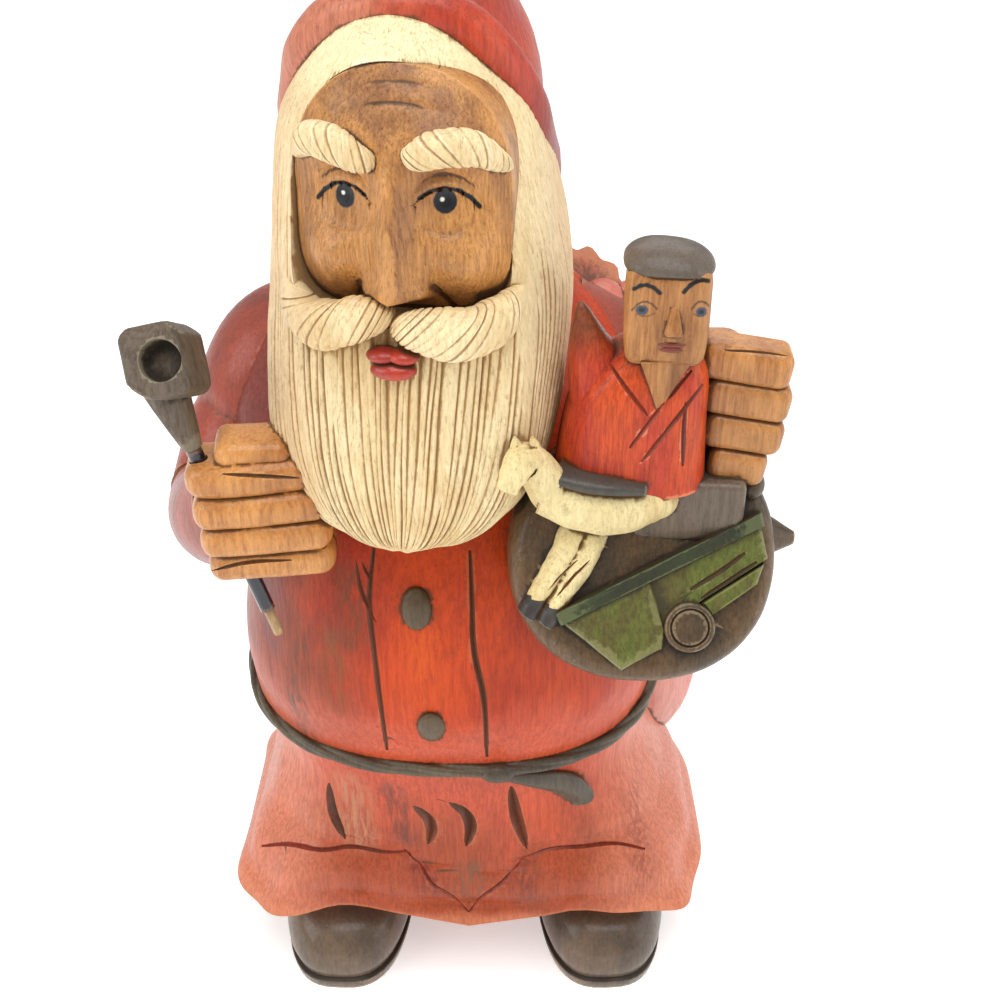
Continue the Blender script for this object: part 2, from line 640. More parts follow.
def ball(name, centre, radii, paint, turn=0.0, tilt=0.0, sides=32, rows=18):
    rise = np.linspace(-math.pi / 2, math.pi / 2, rows + 2)[1:-1, None]
    around = 2 * math.pi * np.arange(sides)[None, :] / sides
    grid = np.stack([np.cos(rise) * np.cos(around), np.cos(rise) * np.sin(around),
                     np.sin(rise) + 0 * around], -1)
    pole = (0.02, 0.02, math.cos(math.pi / (rows + 1)) ** -0.05)  # the end rows are drawn out, to the poles
    grid = np.concatenate([grid[:1] * pole, grid, grid[-1:] * pole])
    return skin(name, placed(grid * np.asarray(radii, float), centre, turn, tilt), paint)


# lean about Y, tilt about X, turn about Z, then move
def placed(points, centre, turn=0.0, tilt=0.0, lean=0.0):
    spin = Matrix.Rotation(turn, 3, "Z") @ Matrix.Rotation(tilt, 3, "X") @ Matrix.Rotation(lean, 3, "Y")
    return points @ np.array(spin).T + np.asarray(centre, float)


def block(name, centre, size, paint, edge=1.5, turn=0.0, tilt=0.0, lean=0.0, spacing=1.6, shape=None):
    # a box with rounded edges; shape bends its points before it is placed
    half = np.asarray(size, float) / 2
    edge = min(edge, half.min() * 0.98)
    turns = edge * np.tan(np.radians((0, 15, 30, 45)))
    stops = []
    for reach in half:
        inner = reach - edge
        count = max(int(round(2 * inner / spacing)), 1)
        stops.append(np.concatenate([-(inner + turns[::-1]), np.linspace(-inner, inner, count + 1)[1:-1],
                                     inner + turns]))
    points, faces = [], []
    for axis in range(3):
        u, v = (axis + 1) % 3, (axis + 2) % 3
        for side in (-1, 1):
            grid = np.zeros((len(stops[u]), len(stops[v]), 3))
            grid[..., axis] = side * half[axis]
            grid[..., u], grid[..., v] = stops[u][:, None], stops[v][None, :]
            start = sum(len(p) for p in points)
            index = start + np.arange(grid[..., 0].size).reshape(grid.shape[:2])
            quads = np.stack([index[:-1, :-1], index[1:, :-1], index[1:, 1:], index[:-1, 1:]],
                             -1).reshape(-1, 4)
            faces.append(quads if side > 0 else quads[:, ::-1])
            points.append(grid.reshape(-1, 3))
    points, faces = np.concatenate(points), np.concatenate(faces)
    _, first, welded = np.unique(np.round(points, 4), axis=0, return_index=True, return_inverse=True)
    points, faces = points[first], welded.reshape(-1)[faces]
    inner = np.clip(points, -(half - edge), half - edge)
    outward = points - inner
    points = inner + edge * outward / np.linalg.norm(outward, axis=1, keepdims=True)
    if shape is not None:
        points = shape(points)
    return solid(name, placed(points, centre, turn, tilt, lean), [tuple(f) for f in faces.tolist()], paint)


def reshaped(mesh, change):  # a mesh changed through bmesh
    shape = bmesh.new()
    shape.from_mesh(mesh)
    change(shape)
    shape.to_mesh(mesh)
    shape.free()


def turnOut(mesh, merge=True):  # faces outwards
    def change(shape):
        if merge:
            bmesh.ops.remove_doubles(shape, verts=shape.verts, dist=1e-7)
        bmesh.ops.recalc_face_normals(shape, faces=shape.faces)
    reshaped(mesh, change)


def volume(mesh):
    shape = bmesh.new()
    shape.from_mesh(mesh)
    amount = shape.calc_volume(signed=True)
    closed = all(edge.is_manifold for edge in shape.edges)
    shape.free()
    return amount if closed else None


def join(base, others, operation="UNION"):  # one solid from several, or the others cut out of the base
    for other in others:
        before, extra = volume(base.data), volume(other.data)
        for solver in ("MANIFOLD", "EXACT"):
            boolean = base.modifiers.new("join", "BOOLEAN")
            boolean.operation, boolean.solver, boolean.object = operation, solver, other
            ready = base.evaluated_get(bpy.context.evaluated_depsgraph_get())
            result = bpy.data.meshes.new_from_object(ready)
            base.modifiers.clear()
            after = volume(result)
            if before is None or extra is None or after is None:
                print("  open mesh at", base.name, other.name, solver, before, extra, after)
            least, most = before - extra, before
            if operation == "UNION":
                least, most = max(before, extra), before + extra
            if after is not None and least * 0.998 <= after <= most * 1.002:
                break
            print("  odd result", base.name, other.name, solver, before, extra, after)
        base.data = result
        bpy.data.objects.remove(other)
    return base


# Strokes of a V tool, laid on a surface as the camera sees it, in thousandths of the picture

scaleOfView = camera["lens"] / camera["sensor"] * camera["picture"]


def seen(surface, across, down):  # the place and normal that the camera sees at a point of the picture
    pitch, middle = camera["down"], camera["picture"] / 2
    ahead = Vector((0, math.cos(pitch), -math.sin(pitch)))
    above = Vector((0, math.sin(pitch), math.cos(pitch)))
    way = ahead + Vector(((across - middle) / scaleOfView, 0, 0)) + above * ((middle - down) / scaleOfView)
    return surface.ray_cast(Vector(camera["place"]), way.normalized())[:2]


def surfaceOf(thing):
    points = [vertex.co.copy() for vertex in thing.data.vertices]
    return BVHTree.FromPolygons(points, [tuple(p.vertices) for p in thing.data.polygons])


def makeGougeTree():  # V gouges that follow lines on a surface
    tree, given, result = newGroup(
        "gougesAlongLines",
        [("Lines", form), ("Depth", number, 1.0), ("Paint", coating)], [("Gouges", form)],
        "GeometryNodeTree",
    )
    curve = add(tree, "GeometryNodeMeshToCurve", {"Mesh": given["Lines"]})
    normal = add(tree, "GeometryNodeInputNamedAttribute", {"Name": "outward"}, data_type="FLOAT_VECTOR")
    facing = add(tree, "GeometryNodeSetCurveNormal", {"Curve": curve.outputs[0]}, mode="FREE")
    feed(tree, facing.inputs["Normal"], normal.outputs["Attribute"])
    swell = add(tree, "GeometryNodeInputNamedAttribute", {"Name": "swell"}, data_type="FLOAT")
    swelling = swell.outputs["Attribute"]
    radius = add(tree, "GeometryNodeSetCurveRadius", {"Curve": facing.outputs[0], "Radius": swelling})
    diamond = add(tree, "GeometryNodeCurvePrimitiveCircle", {"Resolution": 4, "Radius": given["Depth"]})
    body = add(tree, "GeometryNodeCurveToMesh", {
        "Curve": radius.outputs[0], "Profile Curve": diamond.outputs[0], "Fill Caps": True,
    })
    if "Scale" in body.inputs:
        feed(tree, body.inputs["Scale"], swelling)
    real = add(tree, "GeometryNodeRealizeInstances", {0: body.outputs[0]})
    painted = add(tree, "GeometryNodeSetMaterial",
                  {"Geometry": real.outputs[0], "Material": given["Paint"]})
    feed(tree, result["Gouges"], painted.outputs[0])
    return tree


gougeTree = makeGougeTree()


def grown(tree, start, values):  # a plain mesh from a node tree; values are given by the input's name
    modifier = start.modifiers.new("grow", "NODES")
    modifier.node_group = tree
    for item in tree.interface.items_tree:
        if getattr(item, "in_out", "") == "INPUT" and item.name in values:
            modifier[item.identifier] = values[item.name]
    mesh = bpy.data.meshes.new_from_object(start.evaluated_get(bpy.context.evaluated_depsgraph_get()))
    start.modifiers.clear()
    return mesh


def paintAs(mesh, paint, mark=0.0):  # every finished mesh carries the same paints in the same order
    mesh.materials.clear()
    for made in paintMade.values():
        mesh.materials.append(made)
    mesh.polygons.foreach_set("material_index", [paintNames.index(paint)] * len(mesh.polygons))
    for old in [a.name for a in mesh.attributes if a.name in ("outward", "swell", "groove")]:
        mesh.attributes.remove(mesh.attributes[old])
    groove = mesh.attributes.new("groove", "FLOAT", "POINT")
    groove.data.foreach_set("value", [mark] * len(mesh.vertices))


def gouge(thing, lines, depth, paint, spacing, blunt):
    # cut V gouges along lines of picture points; each swells from its ends to its middle
    surface = surfaceOf(thing)
    for line in lines:
        spots = smoothValues([(i, *spot) for i, spot in enumerate(line)], np.linspace(0, len(line) - 1, 40))
        hits = [seen(surface, *spot) for spot in spots]
        hits = [hit for hit in hits if hit[0] is not None]
        if len(hits) < 4:
            print("  a gouge misses at", line[0])
            continue
        path = np.array([hit[0] for hit in hits])
        outward = np.array([hit[1] for hit in hits])
        steps = np.concatenate([[0], np.cumsum(np.linalg.norm(np.diff(path, axis=0), axis=1))])
        count = max(int(steps[-1] / (spacing * mm)), 4)
        at = np.linspace(0, steps[-1], count)
        path = np.stack([np.interp(at, steps, path[:, k]) for k in range(3)], 1)
        outward = np.stack([np.interp(at, steps, outward[:, k]) for k in range(3)], 1)
        for _ in range(2):  # even out the small steps of a faceted surface
            path[1:-1] = (path[:-2] + 2 * path[1:-1] + path[2:]) / 4
            outward[1:-1] = (outward[:-2] + 2 * outward[1:-1] + outward[2:]) / 4
        share = np.linspace(0, 1, count)
        swell = blunt + (1 - blunt) * np.sin(math.pi * share) ** 0.6
        mesh = bpy.data.meshes.new("strokes")
        mesh.from_pydata(path.tolist(), [(i, i + 1) for i in range(count - 1)], [])
        mesh.attributes.new("outward", "FLOAT_VECTOR", "POINT").data.foreach_set("vector", outward.ravel())
        mesh.attributes.new("swell", "FLOAT", "POINT").data.foreach_set("value", swell)
        start = bpy.data.objects.new("strokes", mesh)
        bpy.context.scene.collection.objects.link(start)
        cutter = grown(gougeTree, start, {"Depth": depth * mm, "Paint": paintMade[paint]})
        paintAs(cutter, paint, 1.0)
        start.data = cutter
        turnOut(cutter, merge=False)
        join(thing, [start], "DIFFERENCE")
    return thing


# The coat

coat = {
    "hemHeight": 25.0, "beltHeight": 85.0, "turn": math.radians(-4), "columns": 168, "rows": 88,
    "lip": 1.6, "band": 1.2, "crease": 0.8, "dipAt": -0.8, "dipWidth": 15.0, "dipDepth": 19.0,
    "hem": (  # place across the front, rise
        (-62, -0.8), (-46, 2.4), (-32, 7.4), (-18, 4.8), (-2, 1.6), (12, 2.4), (26, 7.0), (39, 4.0),
        (60, -0.8),
    ),
    "stations": (  # height, middle x, half width, front depth, back depth, squareness
        (25, -1, 61.0, 43.5, 34, 5.0), (36, -1, 57.0, 43.5, 34, 4.2), (52, -2, 51.0, 42, 33, 3.2),
        (66, -3, 47.2, 43, 32, 2.6), (76, -3.8, 48.0, 45, 32.5, 2.5), (85, -4.5, 51.0, 47.5, 33, 2.4),
        (102, -4.5, 51.0, 53, 35, 2.3), (122, -4.8, 49.0, 53, 36, 2.3), (142, -6, 48.0, 48, 36, 2.4),
        (162, -6.5, 46.5, 39, 34, 2.4), (178, -7, 38.0, 29, 28, 2.2), (190, -8, 22.0, 22, 20, 2.0),
        (198, -8, 14.0, 16, 14, 2.0),
    ),
}


def hemWave(x, front):  # how far the hem sits above its lowest point; it rises over each boot
    rise = smoothValues(coat["hem"], np.ravel(x)).reshape(np.shape(x))
    return rise * front + 1.5 * (1 - front)


def coatPoints(angle, z, proud=0.0):  # angle -90 degrees is the front
    angle, z = np.broadcast_arrays(np.asarray(angle, float), np.asarray(z, float))
    values = smoothValues(coat["stations"], z.ravel()).reshape(*z.shape, 5)
    middle, half, front, back, power = (values[..., k] for k in range(5))
    sine = np.sin(angle)
    depth = np.where(sine < 0, front, back)
    x = (half + proud) * rounded(np.cos(angle), power)
    y = (depth + proud) * rounded(sine, power)
    skirt = np.clip((coat["beltHeight"] - 8 - z) / 40, 0, 1)
    fold = 1 + 0.014 * skirt * np.cos(9 * angle + 0.4)
    turn = coat["turn"] * np.clip((z - 40) / 60, 0, 1)
    x, y = x * fold, y * fold
    share = 1 - np.minimum((z - coat["hemHeight"]) / 22, 1.0)
    rise = share * hemWave(middle + x, step(-sine, 0.15, 0.6))
    return np.stack([middle + x * np.cos(turn) - y * np.sin(turn), x * np.sin(turn) + y * np.cos(turn),
                     z + rise], -1)


def frontPoint(x, z, proud=0.0):  # the point on the front of the coat at a given x
    angles = np.linspace(-math.pi, 0, 721)
    index = int(np.argmin(np.abs(coatPoints(angles, np.full(721, z))[:, 0] - x)))
    return coatPoints(angles[index], z, proud)


def makeCoat():
    even = 2 * math.pi * np.arange(coat["columns"]) / coat["columns"]
    angles = even + 0.42 * np.cos(even)  # closer together at the front
    heights = np.linspace(coat["hemHeight"], coat["stations"][-1][0], coat["rows"])
    z, a = np.meshgrid(heights, angles, indexing="ij")
    front = np.clip(-np.sin(a), 0, 1)
    across = coatPoints(a, z)[..., 0] - coat["dipAt"]
    dip = np.clip(1 - np.abs(across) / coat["dipWidth"], 0, 1) ** 0.9
    creaseAt = 50 - coat["dipDepth"] * dip * (front > 0)
    there = step(front, 0.35, 0.75)
    proud = coat["band"] * bump(z - creaseAt + 12, 11) - coat["crease"] * bump(z - creaseAt, 3.2) * there
    proud = proud + coat["lip"] * step(-z, -(coat["hemHeight"] + 5.0), -(coat["hemHeight"] + 3.2))
    proud = proud + 0.5 * step(z, coat["beltHeight"] + 3, coat["beltHeight"] + 12) * bump(z - 98, 16)
    marks = 0.2 * bump(z - creaseAt, 2.4) * there
    body = coatPoints(a, z, proud)
    inside = np.array((-1, -4, coat["hemHeight"] + 8))
    under = [inside + (coatPoints(angles, np.full(len(angles), coat["hemHeight"])) - inside) * s
             for s in (0.55, 0.8)]
    under.append(coatPoints(angles, np.full(len(angles), coat["hemHeight"]), -3.2) + (0, 0, 2.4))
    under.append(coatPoints(angles, np.full(len(angles), coat["hemHeight"]), -0.4) + (0, 0, 0.2))
    grid = np.concatenate([np.array(under), body])
    marks = np.concatenate([np.zeros((4, len(angles))), marks])
    return skin("coat", grid, "coatPaint", marks)


boots = {"apart": 34.5, "splay": math.radians(2), "columns": 56, "profile": (
    # height, half width, toe, heel
    (0, 16.9, -44.6, 26), (2.6, 17.4, -45.1, 26.3), (3.0, 17.2, -44.9, 26.2), (3.3, 16.2, -44.0, 25.5),
    (4.0, 16.6, -44.2, 25.7), (8, 17.6, -44.8, 26), (13, 17.2, -43.0, 26), (17.5, 16.0, -38.5, 25.5),
    (21, 14.8, -31, 25), (26, 14.0, -26, 24), (40, 13.2, -22, 22),
)}


def makeBoots():
    made = []
    heights = np.concatenate([[0, 1.3, 2.6, 2.8, 3.0, 3.3, 3.6, 4.0], np.linspace(5.4, 40, 22)])
    profile = np.array(boots["profile"])
    values = np.stack([np.interp(heights, profile[:, 0], profile[:, k]) for k in (1, 2, 3)], 1)
    smooth = smoothValues(profile[profile[:, 0] >= 4], heights)
    values = np.where((heights >= 4.0)[:, None], smooth, values)
    angle = 2 * math.pi * np.arange(boots["columns"]) / boots["columns"]
    for side in (-1, 1):
        half, toe, heel = (values[:, k : k + 1] for k in range(3))
        x = half * rounded(np.cos(angle), 2.9)
        y = (toe + heel) / 2 + (heel - toe) / 2 * rounded(np.sin(angle), 2.6)
        splay = side * boots["splay"]
        middle = (toe + heel) / 2
        grid = np.stack([
            side * boots["apart"] + x * math.cos(splay) - (y - middle) * math.sin(splay),
            middle + x * math.sin(splay) + (y - middle) * math.cos(splay),
            np.broadcast_to(heights[:, None], x.shape),
        ], -1)
        marks = np.broadcast_to(((heights > 2.9) & (heights < 3.7))[:, None], x.shape).astype(float)
        made.append(skin("boot", grid, "bootPaint", marks))
    return made


# The head: hair and beard in one mass, with a V groove between one lock and the next

head = {"x": -6.1, "y": -28.0, "turn": math.radians(-10), "chin": 181.0, "crown": 264.0}
mane = {
    "stations": (  # height, middle x, half width, front y, back y, squareness
        (153.5, 0, 5, -63, -52, 2.0), (157, 0, 15, -66.5, -46, 2.1), (163, 0, 22.0, -68, -40, 2.2),
        (173, 0, 26.5, -68.5, -32, 2.3), (186, 0.3, 28.0, -67.5, -22, 2.4), (202, 0.5, 27.9, -65, -8, 2.5),
        (218, -0.8, 25.6, -62.5, -6, 2.5), (232, -1.6, 22.4, -60.2, -9, 2.4),
        (242, -1.4, 16.4, -57.2, -12, 2.2),
        (248, -1.2, 12.0, -52.5, -14, 2.0), (252, -1.0, 8.5, -45, -17, 2.0), (254, -1.0, 4, -38, -20, 2.0),
    ),
    "grooves": 94, "backWeight": 0.3, "depth": 0.66, "tip": 160, "rows": 50, "wander": 0.18,
}


def turned(points):  # a place on the head, turned with it about its upright axis
    points = np.asarray(points, float)
    cosine, sine = math.cos(head["turn"]), math.sin(head["turn"])
    x, y = points[..., 0], points[..., 1] - head["y"]
    return np.stack([head["x"] + x * cosine - y * sine, head["y"] + x * sine + y * cosine,
                     points[..., 2]], -1)


def faced(points):  # the same for the face, a little to the left of the hair's middle
    return turned(np.asarray(points, float) + (face["aside"], 0, 0))


def manePoints(angle, z, proud=0.0):
    values = smoothValues(mane["stations"], np.ravel(z)).reshape(*np.shape(z), 5)
    aside, half, front, back, power = (values[..., k] for k in range(5))
    x = aside + (half + proud) * rounded(np.cos(angle), power)
    y = (front + back) / 2 + ((back - front) / 2 + proud) * rounded(np.sin(angle), power)
    return turned(np.stack([x, y, z], -1))


def makeMane():
    fine = np.linspace(-math.pi / 2, 1.5 * math.pi, 4001)
    line = manePoints(fine, np.full(4001, 186.0))
    weight = np.where(np.sin((fine[:-1] + fine[1:]) / 2) > 0.55, mane["backWeight"], 1.0)
    length = np.concatenate([[0], np.cumsum(np.linalg.norm(np.diff(line, axis=0), axis=1) * weight)])
    count = mane["grooves"]
    even = (np.arange(count) + random.uniform(-0.2, 0.2, count)) / count * length[-1]
    valley = np.interp(even, length, fine)
    pitch = np.diff(np.append(valley, valley[0] + 2 * math.pi))
    low, high = mane["stations"][0][0], mane["stations"][-1][0]
    heights = np.concatenate([np.linspace(low, mane["tip"], 8)[:-1],
                              np.linspace(mane["tip"], high, mane["rows"])])
    phase, pace = random.uniform(0, 2 * math.pi, (2, count)), random.uniform(6, 14, count)
    z = heights[:, None]
    sway = mane["wander"] * pitch * np.sin(z / pace + phase[0])
    deep = (0.62 + 0.28 * np.sin(z / (pace * 1.3) + phase[1])) * random.uniform(0.6, 1.25, count)
    faded = random.uniform(0, 1, count) < 0.18  # a few grooves run out part of the way down
    stop = random.uniform(165, 205, count)
    deep = deep * np.where(faded, 1 - 0.85 * step(z, stop - 4, stop + 4), 1.0)
    deep = deep * np.where(random.uniform(0, 1, count) < 0.16, 1.45, 1.0)  # and a few part the larger locks
    angles, lift, marks = [], [], []
    valleyNow = valley + sway
    nextValley = np.roll(valleyNow, -1, axis=1)
    nextValley[:, -1] += 2 * math.pi
    for share, low, mark in ((0.0, -1.0, 1.0), (0.24, -0.22, 0.25), (0.5, 0.10, 0.0), (0.76, -0.22, 0.25)):
        angles.append(valleyNow + (nextValley - valleyNow) * share)
        nextDeep = np.roll(deep, -1, axis=1)
        own = deep if share < 0.5 else nextDeep
        lift.append(low * own)
        marks.append(mark * own)
    angle = np.stack(angles, -1).reshape(len(heights), -1)
    lift = np.stack(lift, -1).reshape(len(heights), -1)
    marks = np.stack(marks, -1).reshape(len(heights), -1)
    front = np.clip(-np.sin(angle), 0, 1)
    side = np.cos(angle)
    z = np.broadcast_to(z, angle.shape)
    below = step(-z, -214, -203)  # deep below the cheeks, fine at the sides, faint over the forehead
    strength = 0.22 + 0.78 * below * (0.35 + 0.65 * step(front, 0.25, 0.75))
    strength = np.where(side < -0.5, np.maximum(strength, 0.6 * step(-z, -232, -214)), strength)
    strength = np.where(side > 0.4, np.maximum(strength, 0.8 * step(-z, -216, -198)), strength)
    strength = strength * step(z, heights[0], heights[0] + 3.5)
    lumps = 0.35 * np.sin(angle * 9 + z / 23) * below
    grid = manePoints(angle, z, mane["depth"] * lift * strength + lumps - 0.15)
    return skin("mane", grid, "hairPaint", np.clip(marks * np.maximum(strength, 0.3), 0, 1))


# The face: the carver's own, calm, on ordinary proportions

face = {
    "aside": 1.6, "middle": 222.5, "halfWidth": 18.8, "halfHeight": 21.0, "rings": 52, "columns": 128,
    "round": 2.3, "square": 4.5,
}
levels = {"eye": head["chin"] + (head["crown"] - head["chin"]) / 2}
levels["brow"] = levels["eye"] + (head["crown"] - head["chin"]) * 0.085
levels["nose"] = levels["eye"] - (head["crown"] - head["chin"]) * 0.21
levels["mouth"] = levels["nose"] - (levels["nose"] - head["chin"]) / 3
eyes = {"apart": 8.4, "half": 4.7, "upper": 2.5, "lower": 1.5, "iris": 2.0}


def faceDepth(x, z):  # how far forward the face is, and how deep its creases are
    side = np.abs(x)
    eye, brow, nose = levels["eye"], levels["brow"], levels["nose"]
    power = np.where(z > face["middle"], face["round"], face["square"])
    reach = ((side / face["halfWidth"]) ** power
             + (np.abs(z - face["middle"]) / face["halfHeight"]) ** power) ** (1 / power)
    depth = 56 + 8.0 * (1 - np.minimum(reach, 1) ** 2.3)
    depth = depth - 3.3 * bell((side - 8.8) / 5.2, (z - eye - 0.6) / 4.2)
    depth = depth + 1.4 * bell((side - 9.0) / 7.0, (z - brow - 2.4) / 3.4)
    fall = np.clip((brow + 1 - z) / (brow + 1 - nose), 0, 1)
    under = step(z, nose - 1.4, nose + 2.6)
    bridge = (1.6 + 6.6 * fall**1.4) * np.exp(-((x / (2.2 + 1.7 * fall)) ** 2))
    bridge = bridge * step(-z, -(brow + 6), -(brow - 4))
    tip = 2.2 * bell(x / 3.7, (z - nose - 3.2) / 3.0)
    tip = tip + 3.2 * bell((side - 4.7) / 1.8, (z - nose - 2.2) / 2.2)
    depth = depth + (bridge + tip) * under
    depth = depth + 3.0 * bell((side - 11.6) / 5.8, (z - nose - 7.2) / 5.6)
    fold = side - (5.6 + 0.42 * (nose + 5.0 - z))  # the fold from the nose's wing to the mouth's corner
    foldHere = bump(fold, 1.5) * step(-z, -(nose + 5.5), -(nose + 3.0))
    depth = depth - 0.9 * foldHere
    dx = side - eyes["apart"]
    dz = z - eye + 0.05 * dx
    inside = np.clip(1 - (dx / eyes["half"]) ** 2, 0, 1)
    above = dz - eyes["upper"] * inside
    below = -eyes["lower"] * inside - dz
    out = np.maximum(above, below)
    near = bump(dx, eyes["half"] * 1.5)
    ballHere = (out < 0) * np.clip(1 - (dx / eyes["half"]) ** 2 - (dz / 3.2) ** 2, 0, 1)
    depth = depth + 1.5 * ballHere**0.5 * (out < 0)
    upperLid = step(above, 0.0, 0.35) * step(-above, -2.4, -1.1) * near
    lowerLid = step(below, 0.0, 0.35) * step(-below, -2.2, -0.9) * near
    depth = depth + 1.15 * upperLid * (above > below) + 0.8 * lowerLid * (below > above)
    crease = bump(above - 2.7, 0.7) * near
    depth = depth - 0.5 * crease
    pouch = bump(below - 3.0, 0.8) * near
    depth = depth - 0.35 * pouch
    rim = bump(out, 0.45) * near
    marks = np.clip(0.4 * foldHere + 0.4 * crease + 0.25 * pouch + 0.2 * rim, 0, 1)
    for rise, dip in ((brow + 7.6, 0.42), (brow + 10.6, 0.36)):  # two soft lines on the forehead
        line = bump(z - rise - 0.9 * np.cos(x / 4.6), 0.7) * bump(x, 10.5)
        depth = depth - dip * line
        marks = np.maximum(marks, 0.55 * line)
    return depth, marks


def faceRing(share, count):  # round above, squarer below, where the moustache covers it
    angle = 2 * math.pi * np.arange(count) / count
    power = np.where(np.sin(angle) > 0, face["round"], face["square"])
    x = face["halfWidth"] * share * rounded(np.cos(angle), power)
    return x, face["middle"] + face["halfHeight"] * share * rounded(np.sin(angle), power)


def makeFace():
    rings, marks = [], []
    for share in np.linspace(0.01, 1, face["rings"]):
        x, z = faceRing(share, face["columns"])
        depth, mark = faceDepth(x, z)
        rings.append(faced(np.stack([x, -depth, z], -1)))
        marks.append(mark)
    x, z = faceRing(1, face["columns"])
    for y in (-52, -40):
        rings.append(faced(np.stack([x, np.full_like(x, y), z], -1)))
        marks.append(np.zeros_like(x))
    return skin("face", np.array(rings), "faceWood", np.array(marks))


def faceRecess():  # the hollow in the hair that the face sits in
    rings = []
    for y, share in ((-55.5, 1.0), (-56.6, 1.025), (-58.5, 1.06), (-61, 1.09), (-80, 1.2)):
        x, z = faceRing(share, 96)
        z = np.maximum(z, face["middle"] - face["halfHeight"] - 0.3)  # the cheeks rest on the moustache
        rings.append(faced(np.stack([x, np.full_like(x, y), z], -1)))
    return skin("recess", np.array(rings), "hairPaint", np.full((5, 96), 0.5))


def lockGrooves(count, depth, lean=0.0, last=0.99):  # grooves across a lock of hair, one after another
    def relief(share, angle):
        wave = (share * count + lean * np.sin(angle)) % 1.0
        cut = np.abs(wave - 0.5) * 2
        cut = np.clip((cut - 0.55) / 0.45, 0, 1)
        fade = step(share, 0.02, 0.1) * step(-share, -last, 0.08 - last)
        return -depth * cut * fade, 0.5 * cut * fade
    return relief


def makeFacialHair():
    brow, nose = levels["brow"], levels["nose"]
    made = []
    for side in (-1, 1):
        knots = [(*faced((side * x, y, z)), a, b) for x, y, z, a, b in (
            (2.9, -62.6, brow + 0.3, 1.1, 1.0), (4.8, -64.2, brow + 1.2, 2.3, 2.3),
            (8.8, -64.4, brow + 2.8, 2.7, 3.1),
            (13.5, -61.6, brow + 2.5, 2.5, 2.9), (17.2, -57.0, brow - 0.6, 1.5, 1.6),
            (18.4, -55.0, brow - 2.0, 0.5, 0.5),
        )]
        made.append(limb("brow", knots, "hairPaint", steps=15, sides=26, power=2.3, slant=side * -0.7,
                         relief=lockGrooves(16, 0.3)))
        knots = [(*faced((side * x, y, z)), a, b) for x, y, z, a, b in (
            (0.6, -65.6, nose - 1.6, 1.4, 1.4), (2.4, -66.4, nose - 1.7, 2.7, 2.9),
            (6.4, -66.8, nose - 2.2, 3.8, 4.2),
            (12.0, -65.0, nose - 3.4, 4.3, 4.9), (17.2, -61.4, nose - 2.6, 3.6, 4.0),
            (20.0, -58.2, nose + 0.2, 2.0, 2.1),
            (21.2, -56.8, nose + 1.8, 0.6, 0.6),
        )]
        made.append(limb("moustache", knots, "hairPaint", steps=16, sides=28, power=2.2, slant=side * 0.75,
                         relief=lockGrooves(20, 0.34, last=0.82)))
    return made


def makeLips():
    mouth = levels["mouth"]
    made = [ball("lower lip", faced((0, -67.3, mouth - 2.3)), (4.1, 2.6, 1.75), "lipPaint",
                 turn=head["turn"])]
    for side in (-1, 1):
        centre = faced((side * 1.7, -67.0, mouth + 0.35))
        made.append(ball("upper lip", centre, (3.0, 2.5, 1.35), "lipPaint",
                         turn=head["turn"] - side * 0.18))
    return made


# The cap

cap = {"columns": 130, "sides": 24, "crown": (
    (-2.5, -14, 205, 23.0, 23), (-3, -14, 218, 23.0, 26), (-3.5, -16, 234, 22.5, 27.5),
    (-4, -17, 248, 18.0, 26), (-4, -12, 262, 13.5, 18),
    (-1, -2, 272, 10.0, 11.0), (1, 9, 275, 7.6, 7.0), (2, 17.5, 269, 6.2, 5.6), (3, 21.5, 260, 5.2, 5.0),
    (3.3, 22.5, 255.5, 3.2, 3.2), (3.4, 22.7, 253.8, 0.8, 0.8),
)}


def makeCap():
    angle = 2 * math.pi * np.arange(cap["columns"]) / cap["columns"]
    front = (1 - np.sin(angle)) / 2
    path = turned(np.stack([
        -4.0 + 2.6 * front + 22.2 * rounded(np.cos(angle), 2.6), -22 + 22.5 * np.sin(angle),
        205 + 44.5 * front**1.8,
    ], -1))
    sizes = np.stack([3.6 + 1.9 * front, 7.4 - 2.5 * front], -1)

    def rolled(share, around):  # a soft roll with a few pressed flats
        lift = 0.28 * np.sin(share * 2 * math.pi * 11 + np.sin(around) * 1.5) * np.cos(around) ** 2
        return lift - 0.25, np.zeros(np.broadcast(share, around).shape)

    brim = sweep("brim", path, sizes, "capPaint", sides=cap["sides"], ring=True, relief=rolled)
    knots = [(*turned(knot[:3]), *knot[3:]) for knot in cap["crown"]]

    def folds(share, around):
        lift = 0.55 * np.sin(3 * around + share * 5) * step(share, 0.15, 0.6)
        return lift - 0.4, np.zeros(np.broadcast(share, around).shape)

    crown = limb("crown", knots, "capPaint", steps=5, sides=52, up=(0, 1, 0.2), relief=folds)
    return [brim, crown]


# Arms and hands


